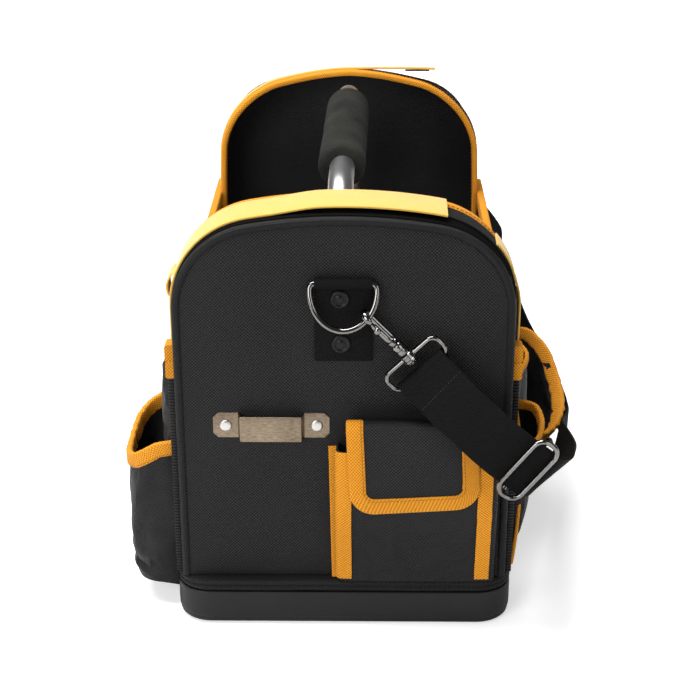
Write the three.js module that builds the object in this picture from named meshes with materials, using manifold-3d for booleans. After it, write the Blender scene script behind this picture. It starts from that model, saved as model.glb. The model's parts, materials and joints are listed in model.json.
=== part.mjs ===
// Open-top tool tote: arched ends, low walls, moulded base, tube handle, pouches and a shoulder strap.
// Millimetres, +Z up, origin at the middle of the base's underside, front end towards -Y.
import * as THREE from "three";
import { mergeVertices } from "three/addons/utils/BufferGeometryUtils.js";
import Module from "manifold-3d";

const wasm = await Module();
wasm.setup();

// Bag body
const BAG_LENGTH = 460;
const BAG_WIDTH = 240;
const END_HEIGHT = 318;
const SIDE_HEIGHT = 208;
const SHOULDER_RADIUS = 64;
const CROWN_RADIUS = 392;
const HOOD_DEPTH = 45;
const HOOD_THICKNESS = 3;
const HOOD_RISE = 3;
const PANEL_THICKNESS = 6;
const WALL_THICKNESS = 4.7;
const PIPING_DIAMETER = 7;
const PIPING_PROUD = 1;
const BINDING_THICKNESS = 1.2;
const BINDING_WIDTH = 12;
const HOOD_BINDING_WIDTH = 5;
const GAP = 0.3;

// Moulded base
const TRAY_HEIGHT = 28;
const TRAY_WALL = 3.5;
const TRAY_OVERHANG = 6;
const TRAY_CORNER = 26;
const TRAY_DRAFT = 1;
const TRAY_BOTTOM_ROUND = 4;
const SKID_COUNT = 3;
const SKID_HEIGHT = 1.2;
const SKID_WIDTH = 24;
const SKID_PITCH = 74;
const SKID_LENGTH = 380;
const WELT_HEIGHT = 10;
const WELT_WIDTH = 14;
const WELT_INSET = 0.5;
const BOARD_THICKNESS = 3;
const BOARD_MARGIN = 1.5;

// Handle
const TUBE_DIAMETER = 19;
const TUBE_WALL = 1.5;
const HANDLE_HEIGHT = 312;
const HANDLE_SPAN = 336;
const HANDLE_BEND = 43;
const GRIP_LENGTH = 180;
const GRIP_DIAMETER = 35;
const GRIP_ROUND = 5;
const SOCKET_HEIGHT = 40;
const SOCKET_WALL = 2.6;
const SOCKET_FLANGE = 27;
const SOCKET_PLATE = 2.5;

// Top straps, each a sewn length with a free tail held by hook and loop tape
const TOP_STRAP_WIDTH = 30;
const WEBBING_THICKNESS = 1.6;
const TOP_STRAP_MARGIN = 4;
const TOP_STRAP_LEFT = 0.82;
const FRONT_TAIL_START = 2.1;
const FRONT_TAIL_END = 3.04;
const TAIL_RAMP = 0.3;
const REAR_TAIL_START = 2.46;
const REAR_TAIL_LENGTH = 84;
const TAPE_WIDTH = 16;
const TAPE_THICKNESS = 1.1;
const HOOK_TAPE_LENGTH = 22;
const HOOK_TAPE_MARGIN = 5;
const LOOP_TAPE_START = 2.8;
const LOOP_TAPE_END = 3.95;

// Ring tab, ring, snap hook and swivel eye
const TAB_WIDTH = 40;
const TAB_BOTTOM = 214;
const RING_BAR_HEIGHT = 272;
const RING_WIRE = 4.5;
const RING_WIDTH = 51;
const RING_DROP = 35;
const RING_CORNER = 4.3;
const RING_TILT = THREE.MathUtils.degToRad(18);
const HOOK_PLACE = THREE.MathUtils.degToRad(48);
const HOOK_SLOPE = THREE.MathUtils.degToRad(46);
const HOOK_LENGTH = 36;
const HOOK_BAR = 3.2;
const HOOK_SLOT = 8.4;
const HOOK_THICKNESS = 5;
const HOOK_SEAT = 1.4;
const GATE_START = 10;
const GATE_END = 29;
const GATE_THICKNESS = 3;
const GATE_WIDTH = 4.4;
const GATE_THUMB_PLACE = 6;
const GATE_THUMB_LENGTH = 4;
const GATE_THUMB_HEIGHT = 3;
const BARREL_DIAMETER = 9.2;
const BARREL_LENGTH = 7;
const SHANK_DIAMETER = 4.8;
const SHANK_HEAD = 8.4;
const SHANK_HEAD_LENGTH = 2.2;
const BOSS_DIAMETER = 11;
const BOSS_LENGTH = 7;
const EYE_LENGTH = 51;
const EYE_PITCH = 15.5;
const EYE_CORNER = 3;
const EYE_WIRE = 3.6;

// Shoulder strap and its slider
const STRAP_WIDTH = 41;
const STRAP_THICKNESS = 2.4;
const STRAP_SLACK = 0.8;
const SLIDER_LENGTH = 54;
const SLIDER_WIDTH = 22;
const SLIDER_WIRE = 3.6;
const SLIDER_CORNER = 8;
const SLIDER_PLACE = 4;
const STRAP_SPLIT = 8;
const STRAP_SPLIT_GAP = 0.03;
const STRAP_STEPS = 2;

// Tape-measure clip
const CLIP_LEFT = -93;
const CLIP_HEIGHT = 163;
const CLIP_LENGTH = 83;
const CLIP_WIDTH = 19.5;
const CLIP_SHEET = 1.5;
const CLIP_TAB = 18;
const CLIP_RISE = 9;
const CLIP_RAMP = 3;
const CLIP_RIVET = 7;
const CLIP_RIVET_HEIGHT = 1.6;

// Front pouch and its flap
const POUCH_LEFT = -5;
const POUCH_RIGHT = 111;
const POUCH_DEPTH = 18;
const POUCH_BOTTOM = 44;
const POUCH_TOP = 150;
const POUCH_CORNER = 7;
const POUCH_WALL = 2.4;
const POUCH_LEFT_BAND = 11;
const POUCH_RIGHT_BAND = 15;
const FLAP_LEFT = 3;
const FLAP_RIGHT = 94;
const FLAP_TOP = 176;
const FLAP_BOTTOM = 108;
const FLAP_THICKNESS = 2.2;
const FLAP_CORNER = 18;
const FLAP_BAND = 11;
const FLAP_FOLD = 3;

// Pouches on the walls: side, middle along Y, width, depth, bottom, mouth at the wall, drop to the lip
const SIDE_POUCHES = {
  left_front_pouch: { side: -1, middle: -173, width: 78, depth: 37, bottom: 20, mouth: 146, drop: 28 },
  left_rear_pouch: { side: -1, middle: -60, width: 120, depth: 30, bottom: 44, mouth: 150, drop: 20 },
  left_upper_pouch: { side: -1, middle: -178, width: 70, depth: 12, bottom: 149, mouth: 189, drop: 5 },
  right_small_pouch: { side: 1, middle: -190, width: 40, depth: 17, bottom: 88, mouth: 152, drop: 14 },
  right_large_pouch: { side: 1, middle: -45, width: 150, depth: 54, bottom: 48, mouth: 150, drop: 44 },
  right_upper_pouch: { side: 1, middle: -176, width: 76, depth: 17, bottom: 158, mouth: 190, drop: 6 },
};
const BOUND_POUCHES = ["left_front_pouch", "left_rear_pouch", "right_small_pouch", "right_large_pouch"];

// Facets
const ROUND_SIDES = 14;
const WIRE_SIDES = 8;
const GRIP_SIDES = 24;
const GRIP_STEPS = 3;
const CORNER_STEPS = 5;
const SHOULDER_STEPS = 7;
const CROWN_STEPS = 5;
const LIP_STEPS = 12;
const WELD = 1e-4;
const REACH = 400;

// Levels and faces that follow from the sizes above
const WALL_FOOT = TRAY_HEIGHT + GAP + WELT_HEIGHT + GAP;
const FRONT_FACE = -BAG_LENGTH / 2 + PIPING_PROUD;
const PANEL_BACK = FRONT_FACE + PANEL_THICKNESS;
const HOOD_FRONT = -BAG_LENGTH / 2 + PIPING_DIAMETER + GAP;
const HOOD_BACK = -BAG_LENGTH / 2 + HOOD_DEPTH;
const WALL_FACE = BAG_WIDTH / 2 + GAP + WALL_THICKNESS;
const TRAY_HALF_WIDTH = WALL_FACE;
const TRAY_HALF_LENGTH = BAG_LENGTH / 2 + TRAY_OVERHANG;
const FLOOR_TOP = SKID_HEIGHT + TRAY_WALL + GAP + BOARD_THICKNESS;
const STRAP_FRONT = HOOD_FRONT + TOP_STRAP_MARGIN;
const STRAP_BACK = STRAP_FRONT + TOP_STRAP_WIDTH;
const STRAP_MIDDLE = (STRAP_FRONT + STRAP_BACK) / 2;

const X_AXIS = new THREE.Vector3(1, 0, 0);
const Y_AXIS = new THREE.Vector3(0, 1, 0);
const Z_AXIS = new THREE.Vector3(0, 0, 1);
const at = (x, y, z) => new THREE.Vector3(x, y, z);

// Materials
const surface = (color, roughness, metalness) =>
  new THREE.MeshStandardMaterial({ color, roughness, metalness });
const BALLISTIC = surface(0x2b2b2d, 0.85, 0);
const LINING = surface(0x161617, 0.9, 0);
const BINDING = surface(0xf2a11f, 0.8, 0);
const WEBBING = surface(0x1b1b1c, 0.8, 0);
const TAPE = surface(0x202021, 0.95, 0);
const MOULDED = surface(0x242527, 0.55, 0);
const BOARD = surface(0x3a3a3c, 0.7, 0);
const FOAM = surface(0x2c2d2f, 0.95, 0);
const CHROME = surface(0xd4d6d8, 0.15, 1);
const NICKEL = surface(0x8d8b88, 0.3, 1);
const CLIP_STEEL = surface(0x9c9488, 0.35, 1);

// Geometry helpers

// Turns the faces of a closed mesh outwards.
function outward(geometry) {
  const place = geometry.attributes.position;
  const index = geometry.index.array;
  const [a, b, c] = [at(0, 0, 0), at(0, 0, 0), at(0, 0, 0)];
  let volume = 0;
  for (let i = 0; i < index.length; i += 3) {
    a.fromBufferAttribute(place, index[i]);
    b.fromBufferAttribute(place, index[i + 1]);
    c.fromBufferAttribute(place, index[i + 2]);
    volume += a.dot(b.cross(c));
  }
  if (volume < 0) {
    for (let i = 0; i < index.length; i += 3) {
      [index[i], index[i + 1]] = [index[i + 1], index[i]];
    }
  }
  geometry.computeVertexNormals();
  return geometry;
}

function indexed(positions, triangles) {
  const geometry = new THREE.BufferGeometry();
  geometry.setAttribute("position", new THREE.Float32BufferAttribute(positions, 3));
  geometry.setIndex(triangles);
  return outward(geometry);
}

// Skins a row of equal rings of points; the end rings are capped, or the row closes on itself.
function loft(rings, { closed = false, capFaces = null } = {}) {
  const count = rings[0].length;
  const positions = rings.flat().flatMap((point) => point.toArray());
  const triangles = [];
  const spans = closed ? rings.length : rings.length - 1;
  for (let i = 0; i < spans; i += 1) {
    const here = i * count;
    const next = ((i + 1) % rings.length) * count;
    for (let j = 0; j < count; j += 1) {
      const k = (j + 1) % count;
      triangles.push(here + j, here + k, next + j);
      triangles.push(here + k, next + k, next + j);
    }
  }
  if (!closed) {
    const fan = [...Array(count - 2).keys()].map((i) => [0, i + 1, i + 2]);
    const last = (rings.length - 1) * count;
    for (const [a, b, c] of capFaces ?? fan) {
      triangles.push(a, c, b);
      triangles.push(last + a, last + b, last + c);
    }
  }
  return indexed(positions, triangles);
}

function toSolid(geometry) {
  const bare = geometry.clone();
  bare.deleteAttribute("normal");
  bare.deleteAttribute("uv");
  const merged = mergeVertices(bare, WELD);
  const vertProperties = new Float32Array(merged.attributes.position.array);
  const triVerts = new Uint32Array(merged.index.array);
  return new wasm.Manifold(new wasm.Mesh({ numProp: 3, vertProperties, triVerts }));
}

function fromSolid(solid) {
  const mesh = solid.getMesh();
  return indexed(Array.from(mesh.vertProperties), Array.from(mesh.triVerts));
}

const join = (...pieces) => fromSolid(pieces.map(toSolid).reduce((whole, piece) => whole.add(piece)));
const cut = (base, ...tools) =>
  fromSolid(tools.map(toSolid).reduce((rest, tool) => rest.subtract(tool), toSolid(base)));

function box(low, high) {
  const size = high.clone().sub(low);
  const geometry = new THREE.BoxGeometry(size.x, size.y, size.z);
  const middle = low.clone().add(high).multiplyScalar(0.5);
  return geometry.translate(middle.x, middle.y, middle.z);
}

// A copy mirrored across the plane square to one axis.
function mirrored(geometry, axis) {
  const sign = at(1, 1, 1);
  sign[axis] = -1;
  const merged = mergeVertices(geometry.clone().deleteAttribute("normal").deleteAttribute("uv"), WELD);
  return outward(merged.scale(sign.x, sign.y, sign.z));
}

const extrude = (shape, depth) =>
  new THREE.ExtrudeGeometry(shape, { depth, bevelEnabled: false, curveSegments: CORNER_STEPS });

// An outline in X and Z, thickened towards -Y from the plane y = back.
function uprightPlate(shape, back, thickness) {
  const basis = new THREE.Matrix4().makeBasis(X_AXIS, Z_AXIS, Y_AXIS.clone().negate());
  return extrude(shape, thickness).applyMatrix4(basis.setPosition(0, back, 0));
}

// An outline in Y and Z, stretched along X and centred on x = middle.
function crossBar(shape, middle, width) {
  const basis = new THREE.Matrix4().makeBasis(Y_AXIS, Z_AXIS, X_AXIS);
  return extrude(shape, width).applyMatrix4(basis.setPosition(middle - width / 2, 0, 0));
}

function roundedShape(left, bottom, right, top, radii) {
  const [lowerLeft, lowerRight, upperRight, upperLeft] = radii;
  const shape = new THREE.Shape();
  shape.moveTo(left + lowerLeft, bottom);
  shape.lineTo(right - lowerRight, bottom);
  if (lowerRight) shape.absarc(right - lowerRight, bottom + lowerRight, lowerRight, -Math.PI / 2, 0, false);
  shape.lineTo(right, top - upperRight);
  if (upperRight) shape.absarc(right - upperRight, top - upperRight, upperRight, 0, Math.PI / 2, false);
  shape.lineTo(left + upperLeft, top);
  if (upperLeft) shape.absarc(left + upperLeft, top - upperLeft, upperLeft, Math.PI / 2, Math.PI, false);
  shape.lineTo(left, bottom + lowerLeft);
  const [turnStart, turnEnd] = [Math.PI, 1.5 * Math.PI];
  if (lowerLeft) shape.absarc(left + lowerLeft, bottom + lowerLeft, lowerLeft, turnStart, turnEnd, false);
  return shape;
}

// Points of a path without the doubles where its stretches meet.
function pathPoints(path, divisions) {
  const points = [];
  for (const point of path.getPoints(divisions)) {
    const last = points[points.length - 1];
    if (!last || last.distanceTo(point) > WELD) points.push(point);
  }
  if (points[0].distanceTo(points[points.length - 1]) < WELD) points.pop();
  return points;
}

// A round bar along a flat run of points; normal is square to that run's plane.
function roundBar(points, normal, radius, sides, closed) {
  const rings = points.map((point, i) => {
    const before = closed ? points.at(i - 1) : points[Math.max(i - 1, 0)];
    const after = closed ? points[(i + 1) % points.length] : points[Math.min(i + 1, points.length - 1)];
    const across = after.clone().sub(before).normalize().cross(normal).normalize();
    return [...Array(sides).keys()].map((side) => {
      const angle = (2 * Math.PI * (side + 0.5)) / sides;
      const reach = across.clone().multiplyScalar(radius * Math.cos(angle));
      return point.clone().add(reach).addScaledVector(normal, radius * Math.sin(angle));
    });
  });
  return loft(rings, { closed });
}

// A cylinder between two places on one axis of a turned frame.
function roundPost(frame, from, to, radius) {
  const geometry = new THREE.CylinderGeometry(radius, radius, to - from, ROUND_SIDES);
  geometry.rotateZ(-Math.PI / 2).translate((from + to) / 2, 0, 0);
  return geometry.applyMatrix4(frame);
}

// The scene

const tote = new THREE.Group();
tote.name = "tool_tote";

function add(name, geometry, material) {
  const mesh = new THREE.Mesh(geometry, material);
  mesh.name = name;
  tote.add(mesh);
}

// A piece of the front end and its mirror image at the rear.
function addEnds(name, geometry, material) {
  add(`front_${name}`, geometry, material);
  add(`rear_${name}`, mirrored(geometry, "y"), material);
}

// Base: tray, welt and floor board

function roundedRing(halfX, halfY, corner, z) {
  const ring = [];
  for (let quarter = 0; quarter < 4; quarter += 1) {
    const [signX, signY] = [[1, 1], [-1, 1], [-1, -1], [1, -1]][quarter];
    for (let step = 0; step <= CORNER_STEPS; step += 1) {
      const angle = ((quarter + step / CORNER_STEPS) * Math.PI) / 2;
      const x = signX * (halfX - corner) + corner * Math.cos(angle);
      const y = signY * (halfY - corner) + corner * Math.sin(angle);
      ring.push(at(x, y, z));
    }
  }
  return ring;
}

const trayRing = (inset, z) =>
  roundedRing(TRAY_HALF_WIDTH - inset, TRAY_HALF_LENGTH - inset, TRAY_CORNER - inset, z);

function baseTray() {
  const round = TRAY_BOTTOM_ROUND;
  const rings = [trayRing(TRAY_DRAFT + round, SKID_HEIGHT)];
  for (let step = 1; step <= CORNER_STEPS; step += 1) {
    const angle = (step / CORNER_STEPS) * (Math.PI / 2);
    const inset = TRAY_DRAFT + round * (1 - Math.sin(angle));
    rings.push(trayRing(inset, SKID_HEIGHT + round * (1 - Math.cos(angle))));
  }
  rings.push(trayRing(0, TRAY_HEIGHT));
  rings.push(trayRing(TRAY_WALL, TRAY_HEIGHT));
  rings.push(trayRing(TRAY_DRAFT + round / 2 + TRAY_WALL, SKID_HEIGHT + TRAY_WALL));
  const skids = [];
  for (let i = 0; i < SKID_COUNT; i += 1) {
    const x = (i - (SKID_COUNT - 1) / 2) * SKID_PITCH;
    const low = at(x - SKID_WIDTH / 2, -SKID_LENGTH / 2, 0);
    skids.push(box(low, at(x + SKID_WIDTH / 2, SKID_LENGTH / 2, SKID_HEIGHT + TRAY_WALL / 2)));
  }
  return join(loft(rings), ...skids);
}

function baseWelt() {
  const [bottom, top] = [TRAY_HEIGHT + GAP, TRAY_HEIGHT + GAP + WELT_HEIGHT];
  const outer = WELT_INSET;
  const inner = WELT_INSET + WELT_WIDTH;
  return loft(
    [trayRing(outer, bottom), trayRing(outer, top), trayRing(inner, top), trayRing(inner, bottom)],
    { closed: true },
  );
}

function floorBoard() {
  const margin = WELT_INSET + WELT_WIDTH + BOARD_MARGIN;
  return loft([trayRing(margin, FLOOR_TOP - BOARD_THICKNESS), trayRing(margin, FLOOR_TOP)]);
}

add("base_tray", baseTray(), MOULDED);
add("base_welt", baseWelt(), WEBBING);
add("floor_board", floorBoard(), BOARD);

// Arched ends

const SHOULDER_X = BAG_WIDTH / 2 - SHOULDER_RADIUS;
const CROWN_Z = END_HEIGHT - CROWN_RADIUS;
const SHOULDER_Z = CROWN_Z + Math.sqrt((CROWN_RADIUS - SHOULDER_RADIUS) ** 2 - SHOULDER_X ** 2);
const CROWN_ANGLE = Math.atan2(SHOULDER_Z - CROWN_Z, SHOULDER_X);

// How far the hood has risen between its panel and its bound edge: all of it at the crown, and
// nothing at the foot of the shoulders.
function hoodRise(y, z) {
  const along = THREE.MathUtils.clamp((y - HOOD_FRONT) / (HOOD_BACK - HOOD_FRONT), 0, 1);
  return HOOD_RISE * along * Math.max(0, (z - SHOULDER_Z) / (END_HEIGHT - SHOULDER_Z));
}

// One place on the arch: 0 to 1 is the left side, then the left shoulder, the crown, the right
// shoulder and, from 4 to 5, the right side. Offset is measured outwards from the hood's outside.
function archAt(place, offset, y) {
  const stretch = Math.min(Math.floor(place), 4);
  const part = place - stretch;
  if (stretch === 0 || stretch === 4) {
    const rise = stretch === 0 ? part : 1 - part;
    const side = stretch === 0 ? -1 : 1;
    return at(side * (BAG_WIDTH / 2 + offset), y, WALL_FOOT + rise * (SHOULDER_Z - WALL_FOOT));
  }
  const bend = Math.PI - CROWN_ANGLE;
  const starts = [Math.PI, bend, CROWN_ANGLE];
  const ends = [bend, CROWN_ANGLE, 0];
  const angle = THREE.MathUtils.lerp(starts[stretch - 1], ends[stretch - 1], part);
  const [x, z, radius] = [
    [-SHOULDER_X, SHOULDER_Z, SHOULDER_RADIUS],
    [0, CROWN_Z, CROWN_RADIUS],
    [SHOULDER_X, SHOULDER_Z, SHOULDER_RADIUS],
  ][stretch - 1];
  const height = z + (radius + offset) * Math.sin(angle);
  return at(x + (radius + offset) * Math.cos(angle), y, height + hoodRise(y, height));
}

// Places from one end of a run along the arch to the other, close together on the bends.
function archPlaces(from, to) {
  const counts = [1, SHOULDER_STEPS, CROWN_STEPS, SHOULDER_STEPS, 1];
  const places = [from];
  counts.forEach((count, stretch) => {
    for (let step = 0; step < count; step += 1) {
      const place = stretch + step / count;
      if (place > from + WELD && place < to - WELD) places.push(place);
    }
  });
  places.push(to);
  return places;
}

// A strip along the arch whose section runs between two offsets and two places along Y.
function archStrip(from, to, offsets, front, back) {
  const rings = archPlaces(from, to).map((place) => {
    const [low, high] = offsets(place);
    return [archAt(place, low, front), archAt(place, high, front),
      archAt(place, high, back), archAt(place, low, back)];
  });
  return loft(rings);
}

function archPlate(inset, back, thickness) {
  const shape = new THREE.Shape(
    archPlaces(0, 5).map((place) => {
      const point = archAt(place, -inset, FRONT_FACE);
      return new THREE.Vector2(point.x, point.z);
    }),
  );
  return uprightPlate(shape, back, thickness);
}

function piping() {
  const radius = PIPING_DIAMETER / 2;
  const middle = -BAG_LENGTH / 2 + radius;
  const points = archPlaces(0, 5).map((place) => archAt(place, -radius, middle));
  return roundBar(points, Y_AXIS, radius, WIRE_SIDES, false);
}

const hoodStrip = () => archStrip(0, 5, () => [-HOOD_THICKNESS, 0], HOOD_FRONT, HOOD_BACK);
const hoodBinding = () => archStrip(
  0, 5, () => [-HOOD_THICKNESS - BINDING_THICKNESS, 0],
  HOOD_BACK + GAP, HOOD_BACK + GAP + HOOD_BINDING_WIDTH,
);

addEnds("panel", archPlate(PIPING_DIAMETER + GAP, PANEL_BACK, PANEL_THICKNESS), BALLISTIC);
addEnds("piping", piping(), TAPE);
addEnds("hood", hoodStrip(), LINING);
addEnds("hood_binding", hoodBinding(), BINDING);

// Side walls, each with a folded binding over its top edge

const wallLength = BAG_LENGTH - 2 * (PIPING_DIAMETER + GAP);

function sideWall() {
  const top = SIDE_HEIGHT - BINDING_THICKNESS - GAP;
  const low = at(BAG_WIDTH / 2 + GAP, -wallLength / 2, WALL_FOOT);
  return box(low, at(WALL_FACE, wallLength / 2, top));
}

function wallBinding() {
  const top = box(
    at(BAG_WIDTH / 2 + GAP, -wallLength / 2, SIDE_HEIGHT - BINDING_THICKNESS),
    at(WALL_FACE + GAP + BINDING_THICKNESS, wallLength / 2, SIDE_HEIGHT),
  );
  const skirt = box(
    at(WALL_FACE + GAP, -wallLength / 2, SIDE_HEIGHT - BINDING_WIDTH),
    at(WALL_FACE + GAP + BINDING_THICKNESS, wallLength / 2, SIDE_HEIGHT),
  );
  return join(top, skirt);
}

add("right_wall", sideWall(), BALLISTIC);
add("left_wall", mirrored(sideWall(), "x"), BALLISTIC);
add("right_wall_binding", wallBinding(), BINDING);
add("left_wall_binding", mirrored(wallBinding(), "x"), BINDING);

// Top straps with hook and loop tape

const loopTop = GAP + TAPE_THICKNESS;
const hookBottom = loopTop + GAP;
const tailRise = hookBottom + TAPE_THICKNESS + GAP;
const sewnStrap = (end) => archStrip(
  TOP_STRAP_LEFT, end - GAP / BAG_WIDTH, () => [GAP, GAP + WEBBING_THICKNESS], STRAP_FRONT, STRAP_BACK,
);

function frontTail() {
  return archStrip(FRONT_TAIL_START, FRONT_TAIL_END, (place) => {
    const low = GAP + (tailRise - GAP) * Math.min(1, (place - FRONT_TAIL_START) / TAIL_RAMP);
    return [low, low + WEBBING_THICKNESS];
  }, STRAP_FRONT, STRAP_BACK);
}

// A strip of the rear end that runs straight off the crown from where its sewing ends.
function straightStrip(from, to, low, thickness, width) {
  const ring = (x) => [[low, -1], [low + thickness, -1], [low + thickness, 1], [low, 1]].map(
    ([offset, side]) => archAt(REAR_TAIL_START, offset, STRAP_MIDDLE + (side * width) / 2).setX(x),
  );
  return mirrored(loft([ring(from), ring(to)]), "y");
}

const rearTailLeft = archAt(REAR_TAIL_START, GAP, STRAP_MIDDLE).x;
const rearTailRight = rearTailLeft + REAR_TAIL_LENGTH;
const rearTail = () => straightStrip(rearTailLeft, rearTailRight, GAP, WEBBING_THICKNESS, TOP_STRAP_WIDTH);

function rearHookTape() {
  const right = rearTailRight - HOOK_TAPE_MARGIN;
  return straightStrip(right - HOOK_TAPE_LENGTH, right, -TAPE_THICKNESS, TAPE_THICKNESS, TAPE_WIDTH);
}

const tapeStrip = (from, to, low) => archStrip(
  from, to, () => [low, low + TAPE_THICKNESS],
  STRAP_MIDDLE - TAPE_WIDTH / 2, STRAP_MIDDLE + TAPE_WIDTH / 2,
);
const shoulderLength = SHOULDER_RADIUS * CROWN_ANGLE;
const hookTapeEnd = FRONT_TAIL_END - HOOK_TAPE_MARGIN / shoulderLength;

add("front_top_strap", sewnStrap(FRONT_TAIL_START), BINDING);
add("rear_top_strap", mirrored(sewnStrap(REAR_TAIL_START), "y"), BINDING);
add("front_strap_tail", frontTail(), BINDING);
add("rear_strap_tail", rearTail(), BINDING);
add("front_hook_tape", tapeStrip(LOOP_TAPE_START, hookTapeEnd, hookBottom), TAPE);
add("rear_hook_tape", rearHookTape(), TAPE);
addEnds("loop_tape", tapeStrip(LOOP_TAPE_START, LOOP_TAPE_END, GAP), TAPE);

// Handle: bent tube, foam grip and the floor sockets of its two legs

function handleRun() {
  const reach = HANDLE_SPAN / 2;
  const points = [at(0, -reach, FLOOR_TOP + SOCKET_PLATE + GAP)];
  const bends = [[-1, Math.PI, Math.PI / 2], [1, Math.PI / 2, 0]];
  for (const [end, from, to] of bends) {
    for (let step = 0; step <= SHOULDER_STEPS; step += 1) {
      const angle = THREE.MathUtils.lerp(from, to, step / SHOULDER_STEPS);
      const y = end * (reach - HANDLE_BEND) + HANDLE_BEND * Math.cos(angle);
      points.push(at(0, y, HANDLE_HEIGHT - HANDLE_BEND + HANDLE_BEND * Math.sin(angle)));
    }
  }
  points.push(at(0, reach, FLOOR_TOP + SOCKET_PLATE + GAP));
  return points;
}

function handleTube() {
  const run = handleRun();
  const bore = run.map((point) => point.clone());
  bore[0].z -= TUBE_WALL;
  bore[bore.length - 1].z -= TUBE_WALL;
  const radius = TUBE_DIAMETER / 2;
  return cut(
    roundBar(run, X_AXIS, radius, ROUND_SIDES, false),
    roundBar(bore, X_AXIS, radius - TUBE_WALL, ROUND_SIDES, false),
  );
}

function foamGrip() {
  const [bore, radius, half] = [TUBE_DIAMETER / 2 + GAP, GRIP_DIAMETER / 2, GRIP_LENGTH / 2];
  const profile = new THREE.Path();
  profile.moveTo(bore, -half);
  profile.lineTo(radius - GRIP_ROUND, -half);
  profile.absarc(radius - GRIP_ROUND, -half + GRIP_ROUND, GRIP_ROUND, -Math.PI / 2, 0, false);
  profile.absarc(radius - GRIP_ROUND, half - GRIP_ROUND, GRIP_ROUND, 0, Math.PI / 2, false);
  profile.lineTo(bore, half);
  const points = pathPoints(profile, GRIP_STEPS);
  const ring = new THREE.LatheGeometry([...points, points[0]], GRIP_SIDES);
  return ring.translate(0, 0, HANDLE_HEIGHT);
}

function handleSocket() {
  const bore = TUBE_DIAMETER / 2 + GAP;
  const outline = [[bore, 0], [SOCKET_FLANGE, 0], [SOCKET_FLANGE, SOCKET_PLATE],
    [bore + SOCKET_WALL, SOCKET_PLATE], [bore + SOCKET_WALL, SOCKET_HEIGHT], [bore, SOCKET_HEIGHT],
    [bore, 0]];
  const profile = outline.map(([radius, height]) => new THREE.Vector2(radius, height));
  const socket = new THREE.LatheGeometry(profile, 2 * ROUND_SIDES).rotateX(Math.PI / 2);
  return socket.translate(0, -HANDLE_SPAN / 2, FLOOR_TOP + GAP);
}

add("handle_tube", handleTube(), CHROME);
add("foam_grip", foamGrip(), FOAM);
addEnds("handle_socket", handleSocket(), NICKEL);

// Ring tab: webbing folded round the ring's straight bar

const tabLayers = 2 * WEBBING_THICKNESS;
const tabBore = RING_WIRE / 2 + GAP;
const tabFold = tabBore + WEBBING_THICKNESS;
const RING_BAR_Y = FRONT_FACE - GAP - tabFold;

function ringTab() {
  const shape = new THREE.Shape();
  const front = FRONT_FACE - GAP - tabLayers;
  const meet = Math.asin((front - RING_BAR_Y) / tabFold);
  shape.moveTo(FRONT_FACE - GAP, TAB_BOTTOM);
  shape.lineTo(FRONT_FACE - GAP, RING_BAR_HEIGHT);
  shape.absarc(RING_BAR_Y, RING_BAR_HEIGHT, tabFold, 0, 1.5 * Math.PI + meet, false);
  shape.lineTo(front, TAB_BOTTOM);
  const hole = new THREE.Path();
  hole.absarc(RING_BAR_Y, RING_BAR_HEIGHT, tabBore, 0, 2 * Math.PI, true);
  shape.holes.push(hole);
  return crossBar(shape, 0, TAB_WIDTH);
}

addEnds("ring_tab", ringTab(), WEBBING);

// Ring: a straight bar and a half-oval, hanging tilted off the tab

const ringHalf = (RING_WIDTH - RING_WIRE) / 2;
const ringOval = RING_DROP - RING_WIRE / 2 - RING_CORNER;
const ringPlace = (x, drop) => at(
  x, RING_BAR_Y - drop * Math.sin(RING_TILT), RING_BAR_HEIGHT - drop * Math.cos(RING_TILT),
);

function ring() {
  const path = new THREE.Path();
  path.moveTo(RING_CORNER - ringHalf, 0);
  path.lineTo(ringHalf - RING_CORNER, 0);
  path.quadraticCurveTo(ringHalf, 0, ringHalf, RING_CORNER);
  path.absellipse(0, RING_CORNER, ringHalf, ringOval, 0, Math.PI, false, 0);
  path.quadraticCurveTo(-ringHalf, 0, RING_CORNER - ringHalf, 0);
  const points = pathPoints(path, SHOULDER_STEPS).map((point) => ringPlace(point.x, point.y));
  const normal = at(0, -Math.cos(RING_TILT), Math.sin(RING_TILT));
  return roundBar(points, normal, RING_WIRE / 2, WIRE_SIDES, true);
}

addEnds("ring", ring(), NICKEL);

// Snap hook: its frame runs along the hook, out of the panel and across the hook

const hookAlong = at(Math.cos(HOOK_SLOPE), 0, -Math.sin(HOOK_SLOPE));
const hookOut = Y_AXIS.clone().negate();
const hookAcross = hookAlong.clone().cross(hookOut);
const ringGrip = ringPlace(
  ringHalf * Math.sin(HOOK_PLACE), RING_CORNER + ringOval * Math.cos(HOOK_PLACE),
);
const hookTip = ringGrip.clone().addScaledVector(hookAlong, -(HOOK_BAR + HOOK_SEAT + RING_WIRE / 2));
const hookFrame = new THREE.Matrix4().makeBasis(hookAlong, hookOut, hookAcross).setPosition(hookTip);
const hookPoint = (along, out, across) => at(along, out, across).applyMatrix4(hookFrame);

// Places along the hook, from its nose to the bar that the strap goes round
const barrelEnd = HOOK_LENGTH + BARREL_LENGTH;
const bossStart = barrelEnd + GAP;
const bossEnd = bossStart + BOSS_LENGTH;
const headStart = bossEnd + GAP;
const eyeTop = bossStart + BOSS_LENGTH / 2;
const eyeBar = eyeTop + EYE_PITCH;

function slotShape(start, end, half) {
  return roundedShape(start, -half, end, half, [half, half, half, half]);
}

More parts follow.
